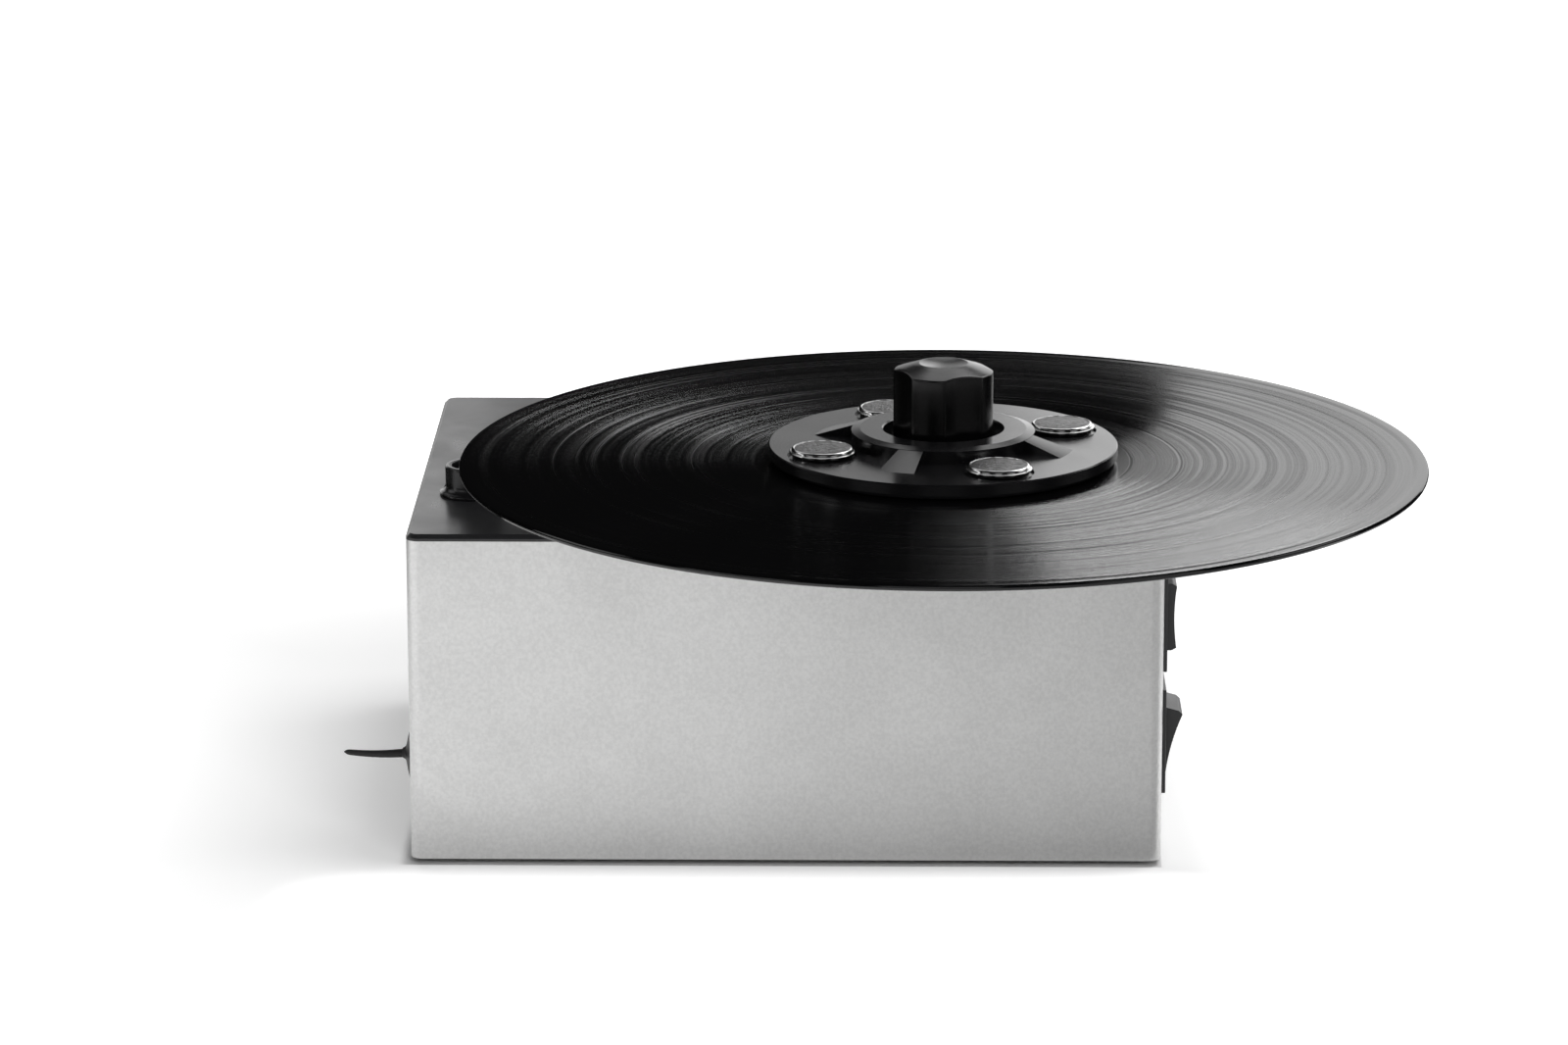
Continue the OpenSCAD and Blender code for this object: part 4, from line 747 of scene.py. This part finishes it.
# %% Turn the socket
socket_at = Vector((middle("arm_socket").x, middle("arm_socket").y, 0))
plate_top = high("top_plate").z / MM
collar_top, collar_bottom = high("arm_socket").z / MM, low("arm_socket").z / MM
socket = turned("arm_socket_collar", [
    (6.5, collar_bottom, 0.2), (7.8, collar_bottom, 0.2), (7.8, plate_top, 0), (10.65, plate_top, 0.3),
    (10.65, plate_top + 0.9, 0.5), (9.6, plate_top + 1.6, 0.8), (8.75, plate_top + 3.0, 2.0),
    (8.75, collar_top - 0.7, 0.3), (8.45, collar_top, 0.5), (7.0, collar_top, 0.3),
    (6.5, collar_top - 0.6, 0.4)], socket_at)
dress(socket, "black_turned")
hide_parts("arm_socket")
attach(socket, "case")
print("socket rises", round(collar_top - plate_top, 1), "mm")

# %% [markdown]
# ## Drain plug
#
# A soft rubber plug closes the drain: a stem, a thin domed flange that seals against the case and a
# tapered pull tail. The flange is turned, and the tail is swept along a slightly bent line, because
# rubber never hangs quite straight.

# %% Make the plug
SEAT_GAP, FLANGE_R = 0.2, 10.25
TAIL_FROM, TAIL_ROOT_R, TAIL_TIP_R = 2.2, 1.4, 0.85
TAIL_BOW, TAIL_DRIFT, TAIL_ROUNDS_AT, TAIL_BLUNT = 0.55, 0.25, 0.9, 0.02
TAIL_ROWS, TAIL_SIDES = 25, 20
plug_centre = middle("drain_plug")
seat_x = low("case_wrap").x / MM - SEAT_GAP
seat_point = Vector((seat_x * MM, plug_centre.y, plug_centre.z))
outwards = Matrix.Translation(seat_point) @ Matrix.Rotation(-math.pi / 2, 4, "Y")
bm = bmesh.new()
spin(bm, [(0, -8), (4.4, -8, 0.4), (5.2, -6, 0.4), (5.2, 0, 0), (10.1, 0, 0.15), (FLANGE_R, 0.5, 0.3),
          (9.1, 1.25, 0.8), (6.4, 2.1, 1.2), (3.2, 2.75, 1.0), (2.0, 3.1, 0.6), (1.55, 4.2, 0.5), (0, 4.2)],
     turns=96, place=outwards)
tail_l = seat_x - low("drain_plug").x / MM - TAIL_FROM
rows = []
for k in range(TAIL_ROWS):
    t = k / (TAIL_ROWS - 1)
    reach = TAIL_FROM + (tail_l - 0.05) * t
    bend = TAIL_DRIFT * t - TAIL_BOW * math.sin(math.pi * t)
    r = TAIL_ROOT_R + (TAIL_TIP_R - TAIL_ROOT_R) * t
    if t > TAIL_ROUNDS_AT:
        to_tip = (t - TAIL_ROUNDS_AT) / (1 - TAIL_ROUNDS_AT)
        r *= math.sqrt(max(TAIL_BLUNT, 1 - to_tip**2 * (1 - TAIL_BLUNT)))
    turns = [2 * math.pi * side / TAIL_SIDES for side in range(TAIL_SIDES)]
    rows.append([bm.verts.new(outwards @ (Vector((r * math.cos(a) + bend, r * math.sin(a), reach)) * MM))
                 for a in turns])
skin(bm, rows, back_to_first=False)
bm.faces.new(rows[0])
bm.faces.new(rows[-1])
plug = finish_mesh(bm, "drain_plug_rubber", 40)
dress(plug, "black_rubber")
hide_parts("drain_plug")
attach(plug, "drain_plug")
print("plug reaches", round(seat_x - min(v.co.x for v in plug.data.vertices) / MM, 1), "mm")

# %% [markdown]
# ## Switches and inlet
#
# These are moulded nylon parts with crisp but not sharp edges, and the solids already have the bezel,
# the well and the scooped rocker. A radius of a quarter of a millimetre is what such a mould has.

# %% Soften the switches and the inlet
MOULDED = {"direction_switch": ("case", 0.3), "pump_switch": ("case", 0.3), "mains_inlet": ("case", 0.25),
           "inlet_pins": ("case", 0.3), "direction_rocker": ("direction_rocker", 0.35),
           "pump_rocker": ("pump_rocker", 0.35)}
for node, (body, edge) in MOULDED.items():
    moulding = softened(node, node + "_moulding", edge, segments=3)
    dress(moulding, slots[node])
    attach(moulding, body)

# %% [markdown]
# ## Floor and background
#
# The machine stands on plain white paper. The lamps give it its soft shadow, and the paper also glows by
# itself, graded so that it paints light and shade: the glow is nil under the case, a painted dark gap
# beneath it, and low at the machine's edge, painted shade round its foot. It grows with the distance:
# slowly on the left and behind, where the shadow lies, and fast in front and on the lit side, where it
# paints light over the lamps' shade. So the shadow stays near the machine and the paper is plain white
# farther out. The world is white where the camera or a mirror looks at it, and adds no light of its own.

# %% Lay the floor
FLOOR_HALF = 8.0
SQUARE = ((-1, -1), (1, -1), (1, 1), (-1, 1))
bm = bmesh.new()
bm.faces.new([bm.verts.new((x * FLOOR_HALF, y * FLOOR_HALF, 0)) for x, y in SQUARE])
floor = finish_mesh(bm, "floor")
paper, nodes, paper_shader = blank_material("white paper")
feed(paper_shader, {"Base Color": (0.86, 0.86, 0.86, 1), "Roughness": 0.9, "Specular IOR Level": 0.1,
                    "Emission Strength": 1.0})
floor.data.materials.append(paper)
floor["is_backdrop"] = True
print("floor", 2 * FLOOR_HALF, "m wide")

# %% Let the paper glow away from the machine, painting shade near it
GLOW_REACH = 0.35
FRONT_QUICKER, LIT_SIDE_QUICKER = 20, 8
QUICK_UNTIL = 0.05
# The glow is nil under the case and low at its edge: painted shade round the machine's foot.
GLOW_AND_PAINTED_SHADE_STOPS = ((0, 0), (0.001, 0), (0.004, 0.27), (0.06, 0.3), (GLOW_REACH, 0.75))
half_x, half_y = high("case_wrap").x, high("case_wrap").y
across = add_node(nodes, "SeparateXYZ", {0: object_point(nodes)}).outputs
beyond_left = calc(nodes, "MULTIPLY_ADD", across["X"], -1, -half_x)
beyond_right = calc(nodes, "MULTIPLY_ADD", across["X"], LIT_SIDE_QUICKER, -LIT_SIDE_QUICKER * half_x)
beyond_back = calc(nodes, "SUBTRACT", across["Y"], half_y)
in_front = calc(nodes, "MULTIPLY_ADD", across["Y"], -1, -half_y)
quickness = map_range(nodes, beyond_left, (0, QUICK_UNTIL), (FRONT_QUICKER, 1), "SMOOTHSTEP")
distance = calc(nodes, "MULTIPLY", in_front, quickness)
for other_side in (beyond_left, beyond_right, beyond_back):
    distance = calc(nodes, "MAXIMUM", distance, other_side)
feed(paper_shader, {"Emission Color": grey_ramp(nodes, distance, GLOW_AND_PAINTED_SHADE_STOPS, GLOW_REACH)})
print("paper glows beyond", round(half_x / MM, 1), "and", round(half_y / MM, 1), "mm")

# %% Set the world
WORLD_LIGHT, WORLD_SEEN = 0.0, 1.0
world = bpy.data.worlds.new("studio")
bpy.context.scene.world = world
world.use_nodes = True
nodes = world.node_tree.nodes
nodes.clear()
path = add_node(nodes, "LightPath").outputs
seen = path["Is Camera Ray"]
for ray in ("Is Glossy Ray", "Is Transmission Ray"):
    seen = calc(nodes, "MAXIMUM", seen, path[ray])
calm, white = (add_node(nodes, "Background", {"Color": (1, 1, 1, 1), "Strength": strength}).outputs[0]
               for strength in (WORLD_LIGHT, WORLD_SEEN))
choose = add_node(nodes, "MixShader", {"Fac": seen, 1: calm, 2: white})
add_node(nodes, "OutputWorld", {"Surface": choose.outputs[0]})
print("world light", WORLD_LIGHT)

# %% [markdown]
# ## Light
#
# Black and glossy things are lit by what they mirror, and pale matt things by lamps. So there are two
# kinds of light here. Lamps shine on everything and aren't mirrored. Soft boxes and cards are seen only
# in reflections. A soft box is an area light, and light linking lets it serve chosen pieces only. A
# card is a sheet that glows and hides what is behind it, so a dark one works as a flag.

# %% Tool: lamps


def lamp(name, at, aim, size, brightness):
    """Brightness is that of the lamp's face, so a larger lamp gives more light."""
    light = bpy.data.lights.new(name, "AREA")
    light.shape = "RECTANGLE"
    light.size, light.size_y = size
    light.energy = brightness * math.pi * size[0] * size[1]
    holder = bpy.data.objects.new(name, light)
    towards = (Vector(aim) - Vector(at)).to_track_quat("-Z", "Y").to_matrix().to_4x4()
    holder.matrix_world = Matrix.Translation(at) @ towards
    holder.visible_camera = False
    holder.visible_glossy = False
    bpy.context.scene.collection.objects.link(holder)
    return holder


# %% Tool: soft boxes


def soft_box(name, at, aim, size, brightness, pieces, link_state, tilt=0):
    """Light linking: the box lights only these pieces (INCLUDE), or all but these (EXCLUDE)."""
    box = lamp(name, at, aim, size, brightness)
    box.matrix_world = box.matrix_world @ Matrix.Rotation(math.radians(tilt), 4, "Z")
    box.visible_glossy = True
    box.visible_diffuse = False
    served = bpy.data.collections.new(name + "_list")
    for piece in pieces:
        served.objects.link(piece)
    for member in served.collection_objects:
        member.light_linking.link_state = link_state
    box.light_linking.receiver_collection = served


# %% Tool: cards


def card(name, faces, brightness):
    """A sheet that only reflections see. Each face is a list of corners."""
    bm = bmesh.new()
    for corners in faces:
        bm.faces.new([bm.verts.new(corner) for corner in corners])
    sheet = finish_mesh(bm, name)
    glow, nodes, shader = blank_material(name)
    feed(shader, {"Base Color": (0, 0, 0, 1), "Specular IOR Level": 0, "Emission Color": (1, 1, 1, 1),
                  "Emission Strength": brightness})
    sheet.data.materials.append(glow)
    for ray in ("camera", "diffuse", "shadow", "transmission"):
        setattr(sheet, "visible_" + ray, False)
    sheet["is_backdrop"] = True
    return nodes, shader


# %% [markdown]
# ## Flags
#
# Dark flags stand all round and over the machine and lie on the far floor, as a photographer hangs
# black cloth round a black subject. The floor flag ends farther off in front than behind, because the
# silver face has to mirror pale floor and the knob's black walls must not.

# %% Hang the flags
FLAG_R, FLAG_TOP, FLAG_STEP = 2.6, 3.2, 10
FLAG_GREY, FLAG_Z = 0.006, 0.002
FRONT_CLEAR, BACK_CLEAR = 1.1, 0.4
turns = [math.radians(a) for a in range(0, 361, FLAG_STEP)]
posts = [(FLAG_R * math.cos(a), FLAG_R * math.sin(a)) for a in turns]
spans = list(zip(posts, posts[1:]))


def inner(post):
    """The point of the floor flag's inner edge that lies before this post."""
    share = (FRONT_CLEAR if post[1] < 0 else BACK_CLEAR) / FLAG_R
    return post[0] * share, post[1] * share, FLAG_Z


card("flag_round", [[(*p, 0), (*q, 0), (*q, FLAG_TOP), (*p, FLAG_TOP)] for p, q in spans], FLAG_GREY)
card("flag_ceiling", [[(x * FLAG_R, y * FLAG_R, FLAG_TOP) for x, y in SQUARE]], FLAG_GREY)
card("flag_floor", [[(*p, FLAG_Z), (*q, FLAG_Z), inner(q), inner(p)] for p, q in spans], FLAG_GREY)
print("flags", FLAG_R, "m away and", FLAG_TOP, "m high")

# %% [markdown]
# ## Soft boxes for the record
#
# Two boxes behind the machine on the right serve the record alone. The large one leans: its edge draws
# the sharp border of the bright wedge, and the grooves spread its light down to the front. The small
# one hangs higher, and the grooves throw it across to the back left as a faint sheen.

# %% Put up the record's soft boxes
BOX_Y = 1.5
WEDGE_TILT = -13.1
for name, x, z, size, brightness, tilt in (
        ("box_haze", 0.43, 1.0, (0.54, 0.4), 9.0, 0),
        ("box_wedge", 0.618, 0.632, (0.9, 1.2), 1.3, WEDGE_TILT)):
    soft_box(name, (x, BOX_Y, z), (x, 0, z), size, brightness, [record], "INCLUDE", tilt)

# %% [markdown]
# ## Soft boxes for the rest
#
# The boxes behind, above and on the left serve everything but the record. They draw the clamp's ribs
# and rings, the caps and the flutes of the knob. The five farther round spare only the floor, and make
# views from the sides and from behind readable. One more box serves the plate, the case and the socket
# alone, and gives the plate its even grey.

# %% Put up the other soft boxes
MACHINE = (0, 0, 0.1)
for name, x, z, size, brightness in (
        ("box_mid", -0.05, 0.425, (0.3, 0.75), 0.6), ("box_right", 1.0, 0.475, (1.8, 0.85), 1.7)):
    soft_box(name, (x, BOX_Y, z), (x, 0, z), size, brightness, [record], "EXCLUDE")
for name, at, size, brightness in (
        ("box_over_left", (-0.75, 1.0, 1.4), (1.1, 1.0), 0.6),
        ("box_over_mid", (0.1, 1.0, 1.4), (0.6, 1.0), 1.5),
        ("box_over_right", (0.9, 1.0, 1.4), (1.0, 1.0), 3.2),
        ("box_left", (-1.2, -0.3, 0.3), (0.15, 0.7), 3.0)):
    soft_box(name, at, MACHINE, size, brightness, [record], "EXCLUDE")
for name, at in (
        ("box_front_left", (-1.7, -1.5, 1.1)), ("box_front", (0, -2.2, 1.3)),
        ("box_front_right", (1.7, -1.5, 1.1)), ("box_side_left", (-2.2, 0.3, 1.2)),
        ("box_side_right", (2.2, 0.3, 1.2))):
    soft_box(name, at, MACHINE, (1.1, 0.8), 1.2, [floor], "EXCLUDE")
sheets = [bpy.data.objects["top_plate_sheet"], bpy.data.objects["case_wrap_sheet"]]
soft_box("box_plate", (-0.85, BOX_Y, 0.4), (-0.85, 0, 0.4), (1.3, 0.7), 1.6, sheets + [socket], "INCLUDE")

# %% [markdown]
# ## The floor that the silver face mirrors
#
# The blasted face of the case shows a blurred picture of the floor before it. A graded card there,
# bright on the left and duller on the right, gives the face its soft gradient. Close to the case the
# card is dimmer, which is painted shade: the floor's shade by the case, as the face mirrors it.

# %% Grade the floor in front of the case
CARD_Z, CARD_HALF, CARD_NEAR, CARD_FAR = 0.0012, 0.9, -0.0925, -1.3
corners = [(x * CARD_HALF, CARD_NEAR if y < 0 else CARD_FAR, CARD_Z) for x, y in SQUARE]
nodes, card_shader = card("card_floor", [corners], 1.0)
where = add_node(nodes, "SeparateXYZ", {0: object_point(nodes)}).outputs
sideways = map_range(nodes, where["X"], (-0.3, 0.25), (1.45, 0.65), "SMOOTHSTEP")
# Dimmer close to the case: painted shade, the floor's shade as the face mirrors it.
near = map_range(nodes, where["Y"], (-0.1, -0.17), (0.5, 1.0))
feed(card_shader, {"Emission Color": calc(nodes, "MULTIPLY", sideways, near)})
print("graded card", round(CARD_NEAR - CARD_FAR, 2), "m deep")

# %% [markdown]
# ## Lamps
#
# A large lamp high on the right makes the soft shadow on the left, and three more fill it. The lamp
# straight above is aimed a hair off the origin, because a lamp that looks exactly down has no up side.
# The record casts no shadow, because it would darken the plate and the face below it.

# %% Switch on the lamps
for name, at, aim, size, brightness in (
        ("lamp_key", (1.3, 0.2, 3.25), (0, 0, 0), (2.1, 2.1), 5.0),
        ("lamp_front", (0.9, -3.4, 2.4), (0, 0, 0), (2.0, 1.6), 5.5),
        ("lamp_top", (0, 0, 3.6), (0, 0.001, 0), (3.5, 3.5), 0.4),
        ("lamp_back", (-1.6, 3.0, 2.2), (0, 0, 0), (1.8, 1.8), 2.5)):
    lamp(name, at, aim, size, brightness)
record.visible_shadow = False
print("lamps on")

# %% [markdown]
# ## Picture settings and the box comparison
#
# Colours are shown as they are written, with no filmic curve. The last lines compare the dressed
# model's box with the solids' box.

# %% Finish
bpy.context.scene.view_settings.view_transform = "Standard"
visual_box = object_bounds()
for axis, low_gap, high_gap in zip("XYZ", cad_box[0] - visual_box[0], visual_box[1] - cad_box[1]):
    print(axis, "beyond the solids by", round(low_gap / MM, 3), "and", round(high_gap / MM, 3), "mm")
